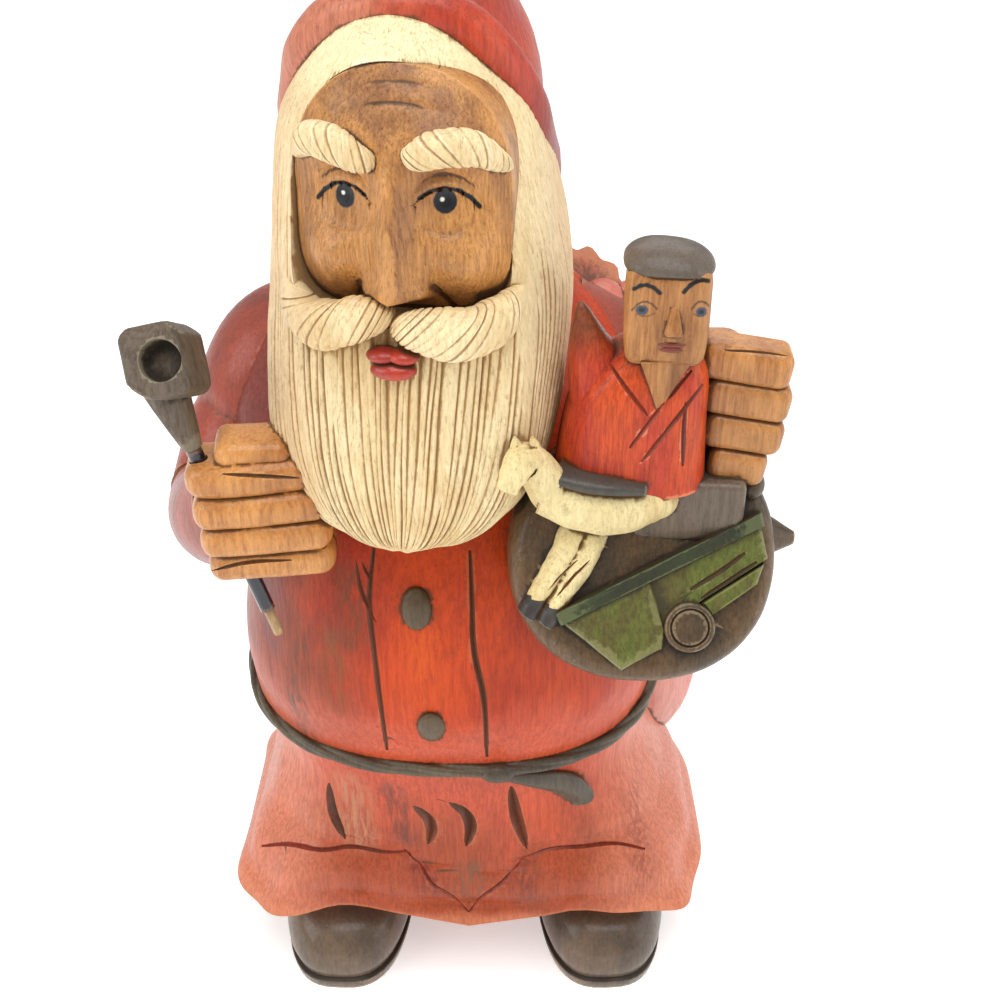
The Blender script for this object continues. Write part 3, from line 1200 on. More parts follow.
def makeArms():
    def folds(share, around):
        lift = -0.9 * bump(share - 0.42 - 0.06 * np.cos(around), 0.05)
        lift = lift - 0.7 * bump(share - 0.62 + 0.05 * np.cos(around), 0.04)
        return lift - 0.1, 0.35 * np.clip(-lift, 0, 1)

    right = limb("right sleeve", [
        (-30, 2, 172, 14, 15), (-42, 0, 164, 17, 17), (-51, -5, 149, 14.4, 15.5),
        (-55.4, -17, 137, 13.2, 13.5), (-51, -35, 146, 12, 12), (-44, -47, 156, 11, 11),
    ], "sleevePaint", steps=10, sides=52, up=(0, 1, 0.3), relief=folds)
    left = limb("left sleeve", [
        (18, 2, 172, 13, 14), (32, 0, 162, 15, 15), (44, -4, 146, 15, 15), (49, -16, 138, 13.5, 13.5),
        (49, -32, 150, 12, 12), (48, -42, 165, 11, 11),
    ], "sleevePaint", steps=8, sides=40, up=(0, 1, 0.3), relief=folds)
    return [right, left]


fist = {"finger": 6.6, "top": 168.2, "turn": math.radians(5)}


def makeFist():
    made = [block("palm", (-38, -47, 159), (20, 14, 24), "skinWood", edge=4, turn=math.radians(6))]
    for k in range(4):
        reach = (0.0, 0.8, 0.6, -0.8)[k]

        def knuckles(points, k=k):  # fuller at the front, with the ends drawn in
            x = points[:, 0] / 13.5
            front = points[:, 1] < 0
            points[:, 1] += (1.9 * x**2 + 1.2 * np.maximum(x, 0) ** 4) * front
            points[:, 2] += 0.5 * np.sin(x * 2.2 + 0.4 * k) - 0.5 * x**2
            return points

        made.append(block(
            "finger", (-39.5 + 0.4 * k, -54.6 - reach, fist["top"] - fist["finger"] * k),
            (27 - 0.7 * k, 14.6, fist["finger"] + 0.5), "skinWood", edge=3.0, turn=fist["turn"],
            spacing=1.3, shape=knuckles,
        ))
    made.append(block("thumb", (-39.5, -55.0, 172.6), (14.5, 9.5, 6.4), "skinWood", edge=2.4,
                      turn=math.radians(4),
                      tilt=math.radians(14), spacing=1.3))
    return made


def makeLeftHand():
    made = [block("wrist", (48.0, -47.5, 181.0), (13, 17, 22), "skinWood", edge=5, tilt=math.radians(-6))]
    for k, length in enumerate((16.5, 15.8, 14.8, 11.0)):
        outer = (59.6, 60.0, 59.4, 57.0)[k]
        made.append(block(
            "left finger", (outer - length / 2, -56.6, 191.8 - 6.9 * k), (length, 9.2, 7.2), "skinWood",
            edge=2.2,
            turn=math.radians(-4), lean=math.radians(8), spacing=1.3,
        ))
    return made


# The sack over his left shoulder


def makeSack():
    def gathers(share, around):  # pleats at the neck that die out down the back
        lift = 0.9 * np.cos(9 * around) * step(share, 0.62, 0.95)
        return lift - 0.6, np.clip(-lift, 0, 1) * 0.25

    sack = limb("sack", [
        (28, 20, 29, 9, 8), (30, 24, 36, 26, 21), (30.5, 28, 50, 34.2, 27), (28, 30, 72, 34.5, 28),
        (22, 31, 98, 33, 27),
        (17, 31, 124, 30, 25), (16, 29, 148, 24, 20), (21, 23, 166, 16, 13), (28, 15, 177, 11.5, 9.5),
    ], "sackPaint", steps=4, sides=54, up=(0, 1, 0.2), relief=gathers)
    made = [sack]
    for x, y, z in ((24, 8, 173), (31, 7, 174), (38, 11, 172)):
        made.append(limb("sack fold", [
            (x + 2, y + 14, z - 10, 4, 4), (x, y + 5, z + 0.5, 5, 4.6), (x - 1, y - 5, z, 5, 4.4),
            (x - 1, y - 11, z - 8, 3.5, 3),
        ], "sackPaint", steps=6, sides=24))
    return made


# The toys in his left arm

doll = {"turn": math.radians(-6), "robe": (
    # height, middle x, half width, front y, back y
    (168, 31.5, 14.2, -66.5, -46), (174, 31.5, 13.8, -66.5, -46), (184, 32.2, 12.6, -66.8, -47),
    (190, 33.4, 11.2, -66.2, -48), (194, 34.6, 8.6, -65.2, -50), (196.5, 35.4, 5.2, -64.0, -52),
), "hair": (  # a low dome: step, height, half width, half depth
    (0, 211.6, 7.3, 6.9), (1, 211.9, 7.7, 7.2), (2, 212.6, 7.8, 7.25), (3, 213.5, 7.2, 6.7),
    (4, 214.5, 5.9, 5.5), (5, 215.3, 4.0, 3.8), (6, 215.7, 2.0, 2.0), (7, 215.8, 0.3, 0.3),
)}


def makeDoll():
    made = []
    heights = np.linspace(doll["robe"][0][0], doll["robe"][-1][0], 26)
    middle, half, front, back = (smoothValues(doll["robe"], heights)[:, k : k + 1] for k in range(4))
    angle = 2 * math.pi * np.arange(64) / 64
    x = middle + half * rounded(np.cos(angle), 3.0)
    y = (front + back) / 2 + (back - front) / 2 * rounded(np.sin(angle), 2.8)
    made.append(skin("doll robe", np.stack([x, y, np.broadcast_to(heights[:, None], x.shape)], -1),
                     "robePaint"))
    knots = [(28, -57, 178, 7.5, 7), (25.4, -57.5, 188, 6.2, 6), (22.8, -58, 196, 3.6, 4),
             (21.4, -58, 202, 1.3, 1.6)]
    knots.append((21.0, -58, 203.6, 0.2, 0.3))
    made.append(limb("robe peak", knots, "robePaint", steps=8, sides=28, up=(0, 1, 0), power=2.6))

    def jaw(points):  # the block head narrows a little to the chin and is flatter at its sides
        low = np.clip(-points[:, 2] / 9.2, 0, 1)
        points[:, 0] *= 1 - 0.10 * low**2
        points[:, 1] *= 1 - 0.08 * low**2
        return points

    made.append(block("doll head", (35.8, -60.5, 203.6), (14.6, 13.4, 17.6), "dollWood", edge=2.0,
                      turn=doll["turn"], spacing=0.9, shape=jaw))

    grid = []
    for z, half, deep in smoothValues(doll["hair"], np.linspace(0, 7, 22)):
        ring = np.stack([half * rounded(np.cos(angle), 2.9), deep * rounded(np.sin(angle), 2.7),
                         np.full_like(angle, z)], -1)
        ring[:, 2] -= 0.06 * (ring[:, 0] + 4) * (z > 212)
        grid.append(placed(ring, (35.7, -60.3, 0), turn=doll["turn"]))
    made.append(skin("doll hair", np.array(grid), "dollHair"))

    def neckline(points):
        low = np.clip(0.5 - points[:, 2] / 9, 0, 1)
        points[:, 0] = points[:, 0] * (1.05 - 0.95 * low) - 0.8 * low
        return points

    made.append(block("doll neck", (35.6, -64.6, 191.6), (8.6, 5.0, 9.0), "dollWood", edge=0.6,
                      spacing=0.8, shape=neckline))

    def wedge(points):  # the nose widens and stands out towards its foot
        down = np.clip(0.5 - points[:, 2] / 5.2, 0, 1)
        points[:, 0] *= 0.45 + 0.75 * down
        points[:, 1] -= 0.9 * down * (points[:, 1] < 0)
        return points

    made.append(block("doll nose", (36.3, -67.0, 203.9), (2.9, 1.9, 5.4), "dollWood", edge=0.9,
                      turn=doll["turn"], tilt=math.radians(-6), spacing=0.5, shape=wedge))
    for rise, half in ((0.45, 2.8), (-0.5, 2.3)):
        spot = (36.2, -66.8, 199.0 + rise)
        made.append(ball("doll lip", spot, (half, 0.8, 0.62), "dollLips", turn=doll["turn"], sides=20,
                         rows=10))
    return made


def makeHorse():
    def coarse(share, around):  # rough knife cuts along the hide
        lift = 0.12 * np.sin(4 * around + share * 7) * np.sin(share * 26)
        return lift - 0.1, np.clip(-lift * 3, 0, 0.3)

    made = [limb("horse body", [
        (15.5, -62, 168, 5.4, 5.2), (22, -63.5, 166, 5.8, 5.8), (29, -63.5, 165, 5.6, 5.6),
        (34.5, -62, 166, 5.4, 5.0), (38, -60, 165, 4.2, 4.2),
    ], "horsePaint", steps=9, sides=32, relief=coarse)]
    made.append(limb("horse neck", [
        (17, -63, 167, 4.8, 4.2), (14, -65.5, 173.5, 4.2, 3.8), (11.4, -67.5, 177.2, 3.6, 3.2),
        (9.4, -70, 175.4, 2.8, 2.4), (8.2, -71, 172.6, 2.2, 1.9),
    ], "horsePaint", steps=9, sides=28, relief=coarse))
    for x in (10.2, 13.4):
        knots = [(x, -67, 177.2, 1.5, 1.2), (x - 0.3, -67, 179.6, 1.2, 0.9),
                 (x - 0.6, -67, 181.5, 0.3, 0.3)]
        made.append(limb("ear", knots, "horsePaint", steps=5, sides=12, up=(0, 1, 0)))
    for across, rise in ((0, 0), (-3.4, 1.6)):
        leg, hoof = ([(*onStack(x + across, z + rise, y), a, b) for x, z, y, a, b in knots] for knots in (
            ((-9.5, 5.0, -1.5, 3.2, 3.0), (-12, -0.5, 0.6, 2.6, 2.4), (-15, -5.5, 0.9, 2.2, 2.0),
             (-17.4, -9.4, 0.8, 1.9, 1.8)),
            ((-17.0, -9.0, 0.8, 1.9, 1.8), (-18.2, -10.8, 0.8, 2.3, 2.1), (-19.2, -12.2, 0.6, 2.4, 1.9)),
        ))
        made.append(limb("horse leg", leg, "horsePaint", steps=9, sides=24, power=2.6, relief=coarse))
        made.append(limb("hoof", hoof, "saddlePaint", steps=5, sides=20))
    made.append(limb("saddle", [
        (18.0, -63.0, 172.4, 4.8, 1.5), (25, -64.2, 171.6, 5.4, 1.7), (33.5, -64.0, 170.4, 4.4, 1.3),
    ], "saddlePaint", steps=9, sides=32, power=2.6))
    return made


stack = {"tilt": math.radians(26), "centre": (34.5, -51, 147), "across": 26.0, "rise": 25.0, "deep": 15.2}


def stackWays():  # out from the sloping face, and up along it
    sine, cosine = math.sin(stack["tilt"]), math.cos(stack["tilt"])
    return np.array((0, -cosine, sine)), np.array((0, sine, cosine))


def onStack(across, rise, proud):  # a place on the sloping face of the dark mass
    up, high = stackWays()
    return np.array(stack["centre"]) + np.array((across, 0, 0)) + high * rise + up * (stack["deep"] + proud)


def makeStack():
    up, high = stackWays()
    angle = 2 * math.pi * np.arange(80) / 80
    profile = smoothValues((  # share of the depth, depth, scale of the outline
        (0, -26, 0.72), (0.3, -12, 0.92), (0.6, 4, 1.0), (0.85, 12, 0.985), (0.95, 14.5, 0.93),
        (1, stack["deep"], 0.86),
    ), np.linspace(0, 1, 24))
    rings = []
    for depth, scale in profile:
        across, rise = stack["across"] * rounded(np.cos(angle),
                                                 2.2), stack["rise"] * rounded(np.sin(angle), 2.2)
        ring = np.array(stack["centre"]) + up * depth + np.stack([across * scale, 0 * across, 0 * across],
                                                                 -1)
        rings.append(ring + high * (rise * scale)[:, None])
    inner = rings[-1]
    hub = inner.mean(0)
    for share in (0.8, 0.6, 0.4, 0.2):
        rings.append(hub + (inner - hub) * share)
    made = [skin("toy mass", np.array(rings), "massPaint")]
    made.append(slab("truck body", ((0, 0.4), (18.5, 0.4), (17, 10.6), (14.8, 13.7), (6, 14)), 2.6,
                     "truckPaint"))
    made.append(slab("truck bed", ((15, 0.4), (42, 0.4), (40.5, 7.2), (25.7, 8.9), (15, 10.2)), 1.9,
                     "truckPaint"))
    made.append(slab("truck board", ((25.4, 9.2), (39.4, 7.6), (36.5, 10.6), (25.8, 12.2)), 2.4,
                     "truckPaint"))
    made.append(slab("truck rail", ((-0.6, -1.6), (43, -1.6), (42.4, 0.9), (-0.3, 0.9)), 3.2, "bandPaint"))
    made.append(wheel(up))
    made.append(block("toy box", (43, -55, 163), (21, 17, 13), "blockPaint", edge=1.4,
                      turn=math.radians(-5)))
    prow = [(48, -55, 154, 7, 6.5), (57, -55, 153, 5.5, 5), (65, -55, 152, 1.4, 1.4)]
    made.append(limb("prow", prow, "massPaint", steps=9, sides=28))
    made.append(ball("knob", (54.5, -57, 166), (3.0, 4.0, 3.0), "massPaint"))
    return made


truck = {"start": (-16.0, -11.5), "slant": math.radians(26.6), "wheel": (21.3, 12.2), "spacing": 1.6}


def onTruck(along, down):  # a place on the sloping face, measured along the truck's rail and down from it
    cosine, sine = math.cos(truck["slant"]), math.sin(truck["slant"])
    return truck["start"][0] + along * cosine + down * sine, truck["start"][1] + along * sine - down * cosine


def slab(name, corners, proud, paint):  # a flat shape on the sloping face with knifed edges
    corners = np.array(corners, float)
    outline = []
    for start, end in zip(corners, np.roll(corners, -1, axis=0)):
        steps = max(int(np.linalg.norm(end - start) / truck["spacing"]), 2)
        outline += [start + (end - start) * k / steps for k in range(steps)]
    outline = np.array(outline)
    hub = corners.mean(0)
    reach = np.linalg.norm(corners - hub, axis=1).mean()
    rings = []
    for height, inset in ((-2.5, 0), (proud - 0.5, 0), (proud, 0.6), (proud, 0.5 * reach),
                          (proud, 0.85 * reach)):
        ring = hub + (outline - hub) * (1 - inset / reach)
        rings.append([onStack(*onTruck(*place), height) for place in ring])
    return skin(name, np.array(rings), paint)


def wheel(up):  # a low disc with a pressed ring near its edge
    angle = 2 * math.pi * np.arange(48) / 48
    side = np.array((1.0, 0, 0))
    high = np.cross(side, up)
    centre = onStack(*onTruck(*truck["wheel"]), 0)
    rings, marks = [], []
    for proud, radius, mark in ((-2, 4.9, 0), (0, 4.9, 0), (2.6, 4.85, 0), (3.1, 4.6, 0), (3.3, 4.2, 0),
                                (3.3, 3.9, 0),
                                (2.85, 3.6, 1), (3.2, 3.3, 0.2), (3.35, 2.2, 0), (3.4, 0.8, 0)):
        rings.append(centre + up * proud + radius
                     * (np.cos(angle)[:, None] * side + np.sin(angle)[:, None] * high))
        marks.append(np.full(48, float(mark)))
    return skin("wheel", np.array(rings), "massPaint", np.array(marks))


# The cord round his waist


def makeCordTree():  # a cord of twisted strands along a line
    tree, given, result = newGroup(
        "twistedCord",
        [("Line", form), ("Radius", number, 0.002), ("Strand", number, 0.16), ("Turns", number, 40.0),
         ("Strands", count, 3), ("Paint", coating)],
        [("Cord", form)], "GeometryNodeTree",
    )
    line = add(tree, "GeometryNodeMeshToCurve", {"Mesh": given["Line"]})
    upright = add(tree, "GeometryNodeSetCurveNormal", {"Curve": line.outputs[0]}, mode="Z_UP")
    along = add(tree, "GeometryNodeSplineParameter")
    twist = maths(tree, "MULTIPLY", maths(tree, "MULTIPLY", along.outputs["Factor"], given["Turns"]),
                  2 * math.pi)
    tilted = add(tree, "GeometryNodeSetCurveTilt", {"Curve": upright.outputs[0], "Tilt": twist})
    circle = add(tree, "GeometryNodeCurvePrimitiveCircle", {"Resolution": 24, "Radius": given["Radius"]})
    around = maths(tree, "MULTIPLY", add(tree, "GeometryNodeSplineParameter").outputs["Factor"],
                   2 * math.pi)
    lobes = maths(tree, "COSINE", maths(tree, "MULTIPLY", around, given["Strands"]))
    swell = maths(tree, "MULTIPLY_ADD", maths(tree, "ABSOLUTE", lobes), given["Strand"], 1.0)
    place = scaled(tree, add(tree, "GeometryNodeInputPosition").outputs[0], swell)
    lobed = add(tree, "GeometryNodeSetPosition", {"Geometry": circle.outputs[0], "Position": place})
    body = add(tree, "GeometryNodeCurveToMesh",
               {"Curve": tilted.outputs[0], "Profile Curve": lobed.outputs[0]})
    real = add(tree, "GeometryNodeRealizeInstances", {0: body.outputs[0]})
    painted = add(tree, "GeometryNodeSetMaterial",
                  {"Geometry": real.outputs[0], "Material": given["Paint"]})
    feed(tree, result["Cord"], painted.outputs[0])
    return tree


belt = {"points": 360, "radius": 1.5, "strand": 0.28, "turns": 5.0, "strands": 2, "proud": 0.5, "dip": 3.5}


def makeBelt():
    angle = 2 * math.pi * np.arange(belt["points"]) / belt["points"]
    z = coat["beltHeight"] + 0.5 * np.sin(3 * angle) - belt["dip"] * np.clip(-np.sin(angle), 0, 1)
    path = coatPoints(angle, z, belt["proud"]) * mm + np.array(shift)
    count = belt["points"]
    mesh = bpy.data.meshes.new("belt")
    mesh.from_pydata(path.tolist(), [(i, (i + 1) % count) for i in range(count)], [])
    cord = bpy.data.objects.new("belt", mesh)
    bpy.context.scene.collection.objects.link(cord)
    made = grown(makeCordTree(), cord, {
        "Radius": belt["radius"] * mm, "Strand": belt["strand"], "Turns": belt["turns"],
        "Strands": belt["strands"],
        "Paint": paintMade["cordPaint"],
    })
    paintAs(made, "cordPaint")
    cord.data = made
    turnOut(made)
    knot = ball("knot", frontPoint(6.0, coat["beltHeight"] - 3.6, 1.2), (4.2, 2.4, 2.6), "cordPaint")
    tail = limb("belt tail", [
        (*frontPoint(7, 80.5, 0.9), 1.6, 1.6), (*frontPoint(14, 77, 0.8), 2.3, 1.7),
        (*frontPoint(21.5, 72, 0.7), 3.6, 1.8),
        (*frontPoint(26, 65.5, 0.5), 3.6, 1.6), (*frontPoint(26.6, 62.8, 0.4), 2.6, 1.2),
    ], "cordPaint", steps=8, sides=28, up=(0, -1, 0))
    return [cord, knot, tail]


def makeButtons():
    return [ball("button", frontPoint(x, z, 0.1), (3.2, 1.7, tall), "buttonPaint", tilt=tilt, sides=36)
            for x, z, tall, tilt in ((-10.3, 131.5, 5.0, -0.16), (-8.1, 100, 5.6, 0.32))]


def pipeRound(name, distances, radii, paint, sides):  # a round length on the pipe's own axis
    return sweep(name, [alongPipe(d) for d in distances], radii, paint, sides=sides, up=(0, 1, 0))


# Bringing the carving together

figure = makeCoat()
join(figure, makeBoots() + makeArms() + makeSack())
print("coat, boots, sleeves and sack joined", len(figure.data.polygons))
headPiece = makeMane()
join(headPiece, makeCap())
join(headPiece, [faceRecess()], "DIFFERENCE")
join(headPiece, [makeFace()])
join(headPiece, makeFacialHair() + makeLips())
print("head joined", len(headPiece.data.polygons))
join(figure, [headPiece])
join(figure, makeBelt() + makeButtons())
print("belt and buttons joined", len(figure.data.polygons))
toys = makeStack()
toyPiece = join(toys[0], toys[1:] + makeHorse() + makeDoll())
join(figure, [toyPiece])
print("toys joined", len(figure.data.polygons))
join(figure, makeFist() + makeLeftHand())
hole = pipeRound("hole", (8, 70), pipe["stemRadius"] + pipe["gap"], "skinWood", 32)
join(figure, [hole], "DIFFERENCE")
print("hands joined", len(figure.data.polygons))

# Gouges, as the camera sees them

strokes = {  # where the photograph's camera sees each one, across and down
    "placket": (
        ((374, 548), (369, 600), (374, 650), (380, 700), (387, 750)),
        ((470, 550), (472, 600), (474, 650), (484, 700), (487, 757)),
    ),
    "coat fold": (((356, 560), (361, 590), (376, 622)), ((362, 562), (372, 584))),
    "skirt": (
        ((329, 783), (333, 812), (345, 839)), ((413, 806), (428, 818), (432, 832), (428, 844)),
        ((449, 803), (465, 812), (471, 828), (466, 846)), ((511, 786), (516, 815), (527, 849)),
    ),
    "crease": (
        ((262, 846), (290, 844), (322, 850), (352, 846), (384, 852), (408, 851)),
        ((404, 849), (420, 864), (432, 884), (452, 896), (469, 912)),
        ((469, 912), (482, 896), (500, 884), (526, 856)),
        ((520, 860), (548, 849), (584, 846), (616, 843), (645, 849)),
    ),
    "robe": (
        ((610, 364), (626, 388), (648, 416)), ((692, 370), (662, 406), (630, 448)),
        ((703, 384), (674, 422), (642, 462)), ((686, 402), (684, 430), (683, 466)),
    ),
    "fist": (((210, 571), (250, 562), (292, 560)), ((222, 474), (262, 476), (300, 478))),
    "left hand": (((725, 350), (760, 352), (788, 356)),),
    "bed": (((701, 599), (730, 580), (757, 562)), ((690, 590), (722, 570), (745, 553))),
    "horse": (((590, 560), (572, 578), (556, 598)), ((578, 560), (562, 574), (548, 590))),
}
gouges = {  # depth in mm, paint, spacing of the cuts in mm, how blunt their ends are
    "placket": (0.65, "redGouge", 1.2, 0.5), "coat fold": (0.4, "redGouge", 1.2, 0.25),
    "skirt": (1.6, "redGouge", 1.2, 0.15), "crease": (0.62, "robeGouge", 1.2, 0.5),
    "robe": (0.5, "robeGouge", 0.8, 0.5), "fist": (0.45, "woodGouge", 0.8, 0.25),
    "left hand": (0.3, "woodGouge", 0.8, 0.25), "bed": (0.5, "greenGouge", 0.8, 0.5),
    "horse": (0.35, "woodGouge", 0.8, 0.25),
}
for place, values in gouges.items():
    gouge(figure, strokes[place], *values)
print("gouges cut", len(figure.data.polygons))

# Brush marks: eyes and lashes, the doll's features, and old wash on the coat


# strokes of colour on a finished paint: points in metres, a width in mm and a colour
def dab(paint, marks):
    tree = paintMade[paint].node_tree
    target = tree.nodes["Principled BSDF"].inputs["Base Color"]
    for points, width, tint, *soft in marks:
        for start, end in zip(points, points[1:] if len(points) > 1 else points):
            values = {"Start": [c / mm for c in start], "End": [c / mm for c in end], "Width": width}
            values["Soft"] = soft[0] if soft else 0.16
            mask = useGroup(tree, brushStroke, values)["Mask"]
            if soft:  # a stain, broken up along the grain
                streak = noiseAt(tree, objectPlace(tree, (0.9, 0.9, 0.12)), 1.0, 4.0, 0.65, 0.3)
                mask = maths(tree, "MULTIPLY", mask, ramp(tree, streak, 0.36, 0.62, 0.0, 0.8))
            feed(tree, target, mixColour(tree, mask, target.links[0].from_socket, tint))


def onFace(x, z):
    depth = faceDepth(np.array([x]), np.array([z]))[0][0]
    return (faced((x, -depth, z)) * mm + np.array(shift)).tolist()


ink, blueBlack, chalk = colour(14, 13, 16), colour(24, 28, 36), colour(240, 240, 232)
eyeMarks = []
for side in (-1, 1):
    middle = side * eyes["apart"]
    eyeMarks.append(([onFace(middle, levels["eye"] + 0.5)], eyes["iris"], blueBlack))
    eyeMarks.append(([onFace(middle, levels["eye"] + 0.5)], 1.1, ink))
    eyeMarks.append(([onFace(middle - 0.45, levels["eye"] + 0.85)], 0.36, chalk))
    lash = [(dx, levels["eye"] + 0.35 + eyes["upper"] * (1 - (dx / eyes["half"]) ** 2) * 0.98 - 0.05 * dx)
            for dx in (-3.9, -2.2, 0.0, 2.2, 4.0, 5.4)]
    eyeMarks.append(([onFace(middle + side * dx, z) for dx, z in lash], 0.42, ink))
dab("faceWood", eyeMarks)

dollMarks = (  # arcs across and down in the photograph: start, end, rise, steps; a width in mm and a colour
    (((634, 289), (660, 293), 6, 5), ((684, 292), (709, 281), 5, 5), 0.38, ink),
    (((632, 310), (657, 309), 8, 6), ((692, 309), (709, 306), 6, 6), 0.16, colour(96, 62, 38)),
    (((637, 314), (655, 313), -3, 4), ((694, 314), (707, 313), -3, 4), 0.10, colour(104, 70, 44)),
    (((641, 310), (643, 310), 0, 2), ((701, 312), (702, 312), 0, 2), 0.86, colour(66, 76, 88)),
    (((641, 310), (643, 310), 0, 2), ((701, 312), (702, 312), 0, 2), 0.36, colour(34, 40, 48)),
)
surface = surfaceOf(figure)
marks = []
for left, right, width, tint in dollMarks:
    for start, end, rise, steps in (left, right):
        spots = []
        for share in np.linspace(0, 1, steps):
            lift = 4 * rise * share * (1 - share)
            spots.append((start[0] + (end[0] - start[0]) * share,
                          start[1] + (end[1] - start[1]) * share - lift))
        hits = [seen(surface, *spot)[0] for spot in spots]
        marks.append(([tuple(hit) for hit in hits if hit is not None], width, tint))
dab("dollWood", [mark for mark in marks if mark[0]])

stains = (  # old wash on the coat: a line in the photograph, a width and softness in mm and a colour
    (((302, 640), (296, 700), (304, 742)), 2.6, 3.0, colour(96, 58, 40)),
    (((330, 640), (338, 706)), 2.4, 2.4, colour(128, 76, 36)),
    (((348, 575), (354, 640)), 3.0, 2.6, colour(112, 62, 36)),
    (((352, 785), (360, 836)), 4.4, 3.2, colour(186, 128, 96)),
    (((392, 790), (404, 838)), 3.0, 3.0, colour(104, 58, 48)),
    (((469, 872), (469, 890)), 3.8, 1.8, colour(122, 80, 56)),
    (((420, 868), (436, 890)), 3.2, 3.0, colour(120, 54, 46)),
    (((525, 865), (528, 898)), 3.0, 3.0, colour(122, 60, 44)),
    (((634, 800), (640, 880)), 3.6, 3.6, colour(150, 76, 60)),
    (((262, 580), (272, 640)), 3.4, 3.4, colour(104, 66, 74)),
    (((420, 640), (424, 690)), 4.0, 3.6, colour(214, 84, 14)),
)
coatMarks = []
for line, width, soft, tint in stains:
    hits = [seen(surface, *spot)[0] for spot in line]
    if all(hit is not None for hit in hits):
        coatMarks.append(([tuple(hit) for hit in hits], width, tint, soft))
dab("coatPaint", coatMarks)
print("brush marks painted")

# The pipe


def makePipe():
    lean = math.radians(14)

    def chamfered(points):  # the lower left and upper right corners are knifed off
        for right, above, keep in ((-1, -1, 6.2), (1, 1, 7.0), (-1, 1, 7.4)):
            past = np.clip((right * points[:, 0] + above * points[:, 2]) / math.sqrt(2) - keep, 0, None)
            points[:, 0] -= right * 0.7 * past
            points[:, 2] -= above * 0.7 * past
        return points

    bowl = block("pipe bowl", (-52.9, -58.6, 192.1), (11.9, 14.2, 13.2), "pipeWood", edge=2.4,
                 turn=math.radians(-6),
                 tilt=math.radians(-28), lean=-lean, spacing=1.0, shape=chamfered)
    shank = pipeRound("shank", (-2, 4, 10, pipe["shankEnd"]), [(r, r) for r in (4.7, 3.8, 2.7, 1.9)],
                      "pipeWood", 12)
    facing = np.array((-0.06, -0.86, 0.5))
    facing /= np.linalg.norm(facing)
    mouth = np.array((-51.6, -58.6, 191.8)) + facing * 3.4
    inward = [mouth + facing * d for d in (0, 0.8, 14)]
    recess = sweep("recess", inward, [(r, r) for r in (3.1, 3.7, 4.0)], "pipeWood", sides=40)
    join(bowl, [shank])
    return join(bowl, [recess], "DIFFERENCE")


def makeStem():
    start, tip = pipe["shankEnd"] + pipe["gap"], pipe["length"] - pipe["tipLength"]
    black = pipeRound("stem", np.linspace(start, tip, 24), pipe["stemRadius"], "stemBlack", 32)
    bare = pipeRound("stem tip", np.linspace(tip - 2, pipe["length"], 8), pipe["tipRadius"], "tipWood", 24)
    return join(black, [bare])


pipePiece = makePipe()
stemPiece = makeStem()
print("pipe made")

# Finishing: hand-cut unevenness, crevice and edge marks, sharp creases


def verticesOf(mesh):
    points, normals = np.empty(len(mesh.vertices) * 3), np.empty(len(mesh.vertices) * 3)
    mesh.vertices.foreach_get("co", points)
    mesh.vertex_normals.foreach_get("vector", normals)
    return points.reshape(-1, 3), normals.reshape(-1, 3)


def triangulate(shape):
    bmesh.ops.triangulate(shape, faces=shape.faces)


def refine(shape):  # smaller triangles along the border between two paints
    near = {}  # kept in order, so that each run gives the same mesh
    for edge in shape.edges:
        if len({face.material_index for face in edge.link_faces}) > 1:
            near.update((face, True) for vert in edge.verts for face in vert.link_faces)
    split = {edge: True for face in near for edge in face.edges if edge.calc_length() > 1.3 * mm}
    bmesh.ops.subdivide_edges(shape, edges=list(split), cuts=1)
    bmesh.ops.triangulate(shape, faces=[face for face in shape.faces if len(face.verts) > 3])


def uneven(mesh, amount):  # small lumps and flats, as a hand with a knife leaves them
    points, normals = verticesOf(mesh)
    place = points / mm
    lumps = 0.6 * lattice(place * (1, 1, 0.6), 7.0, 5) + 0.4 * lattice(place * (1, 1, 0.7), 3.1, 6)
    rise = np.clip(points[:, 2] / (6 * mm), 0, 1)  # the soles stay flat
    moved = points + normals * (lumps * amount * mm * rise)[:, None]
    mesh.vertices.foreach_set("co", moved.ravel())
    mesh.update()


def directions(count):
    index = np.arange(count) + 0.5
    rise = np.sqrt(1 - index / count)
    around = math.pi * (1 + 5**0.5) * index
    flat = np.sqrt(1 - rise**2)
    return np.stack([flat * np.cos(around), flat * np.sin(around), rise], -1)


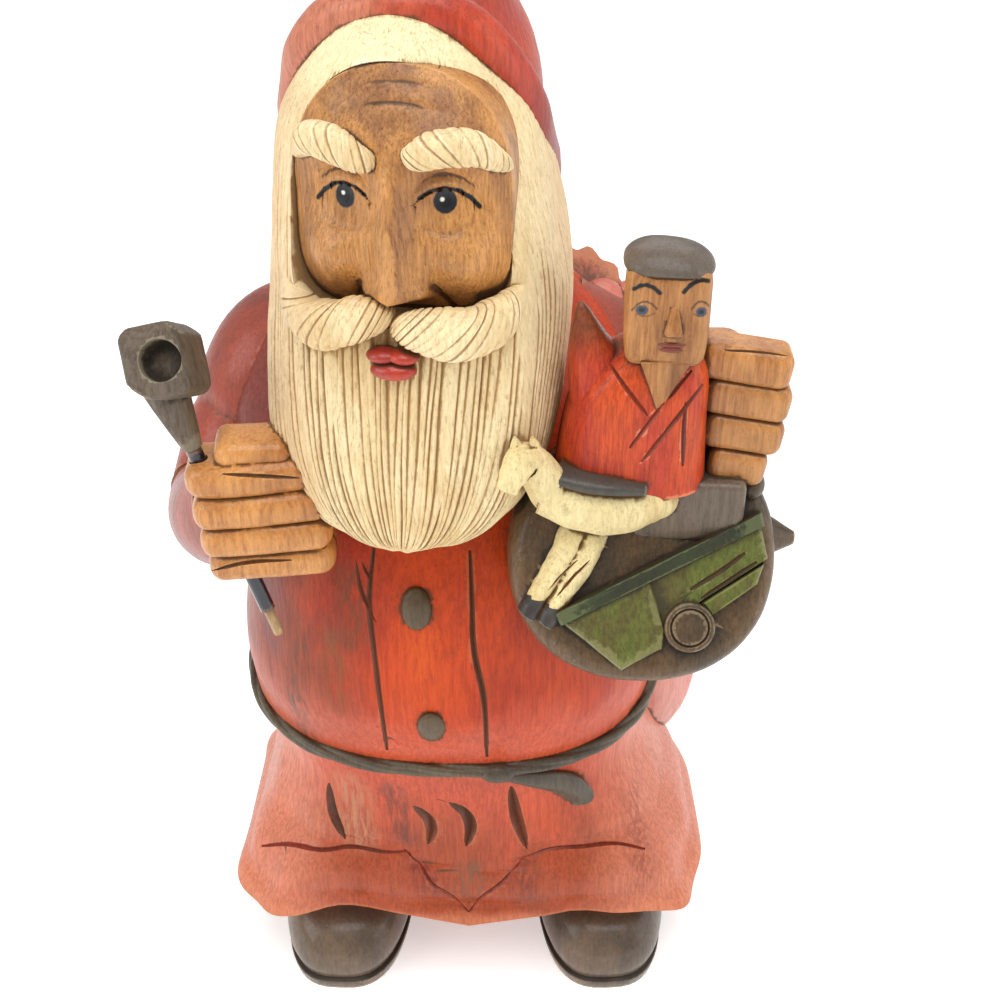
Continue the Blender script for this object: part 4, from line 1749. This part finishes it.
def markCrevices(mesh, reach, rays=14):  # how shut in each point is, and how much it stands out
    points, normals = verticesOf(mesh)
    triangles = [tuple(p.vertices) for p in mesh.polygons]
    surface = BVHTree.FromPolygons([Vector(p) for p in points], triangles)
    normals = np.where(np.linalg.norm(normals, axis=1, keepdims=True) > 0.5, normals, (0, 0, 1.0))
    helper = np.where(np.abs(normals[:, 2:]) < 0.9, (0, 0, 1.0), (1.0, 0, 0))
    side = np.cross(normals, helper)
    side /= np.linalg.norm(side, axis=1, keepdims=True)
    over = np.cross(normals, side)
    shut = np.zeros(len(points))
    start = points + normals * 0.06 * mm
    for x, y, z in directions(rays):
        way = side * x + over * y + normals * z
        for i, (origin, direction) in enumerate(zip(start.tolist(), way.tolist())):
            distance = surface.ray_cast(origin, direction, reach * mm)[3]
            if distance is not None:
                shut[i] += 1 - distance / (reach * mm)
    shut /= rays
    groove = np.zeros(len(points))
    mesh.attributes["groove"].data.foreach_get("value", groove)
    edges = np.empty(len(mesh.edges) * 2, int)
    mesh.edges.foreach_get("vertices", edges)
    a, b = edges.reshape(-1, 2).T
    along = points[b] - points[a]
    length = np.maximum(np.linalg.norm(along, axis=1), 1e-9)
    bend = np.zeros(len(points))
    count = np.bincount(a, minlength=len(points)) + np.bincount(b, minlength=len(points))
    weight = np.minimum(length / (0.5 * mm), 1.0) / length
    bend += np.bincount(a, -np.einsum("ij,ij->i", normals[a], along) * weight, len(points))
    bend += np.bincount(b, np.einsum("ij,ij->i", normals[b], along) * weight, len(points))
    bend /= np.maximum(count, 1)
    crevice = np.clip(np.maximum(step(shut, 0.10, 0.62), 0.85 * groove) + 0.6 * step(-bend, 0.06, 0.3), 0,
                      1)
    edge = step(bend, 0.05, 0.30) * (1 - step(shut, 0.1, 0.3))
    corner = np.empty(len(mesh.loops), int)
    mesh.loops.foreach_get("vertex_index", corner)
    paintOf = np.empty(len(mesh.polygons), int)
    mesh.polygons.foreach_get("material_index", paintOf)
    gouged = np.isin(paintOf, [paintNames.index(name) for name in paintNames if name.endswith("Gouge")])
    gouged = np.repeat(gouged, 3)  # the wash stays inside a gouge and doesn't spread from its rim
    rim = np.zeros(len(points), bool)
    rim[corner[gouged]] = True
    crevice = np.where(rim[corner] & ~gouged, np.minimum(crevice[corner], 0.1), crevice[corner])
    mesh.attributes.new("crevice", "FLOAT", "CORNER").data.foreach_set("value", crevice)
    mesh.attributes.new("edge", "FLOAT", "POINT").data.foreach_set("value", edge)
    print("  crevices", round(float(crevice.mean()), 3), "edges", round(float(edge.mean()), 3), "points",
          len(points))


def finishPiece(thing, name, node, amount, reach):
    mesh = thing.data
    reshaped(mesh, triangulate)
    reshaped(mesh, refine)
    mesh.validate()
    mesh.update()
    if amount:
        uneven(mesh, amount)
    markCrevices(mesh, reach)
    mesh.attributes.remove(mesh.attributes["groove"])
    mesh.shade_smooth()
    mesh.set_sharp_from_angle(angle=math.radians(38))
    used = sorted({p.material_index for p in mesh.polygons})
    index = np.empty(len(mesh.polygons), int)
    mesh.polygons.foreach_get("material_index", index)
    kept = [mesh.materials[i] for i in used]
    mesh.materials.clear()
    for made in kept:
        mesh.materials.append(made)
    lookup = {old: new for new, old in enumerate(used)}
    mesh.polygons.foreach_set("material_index", [lookup[i] for i in index.tolist()])
    thing.name = mesh.name = name
    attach(thing, "root")
    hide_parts(node)
    print(name, len(mesh.polygons), "triangles", len(kept), "paints")


finishPiece(figure, "carvedFigure", "carved_figure", 0.16, 5.0)
finishPiece(pipePiece, "pipeBowlAndShank", "pipe_bowl_and_shank", 0.08, 3.0)
finishPiece(stemPiece, "pipeStem", "pipe_stem", 0.0, 1.0)
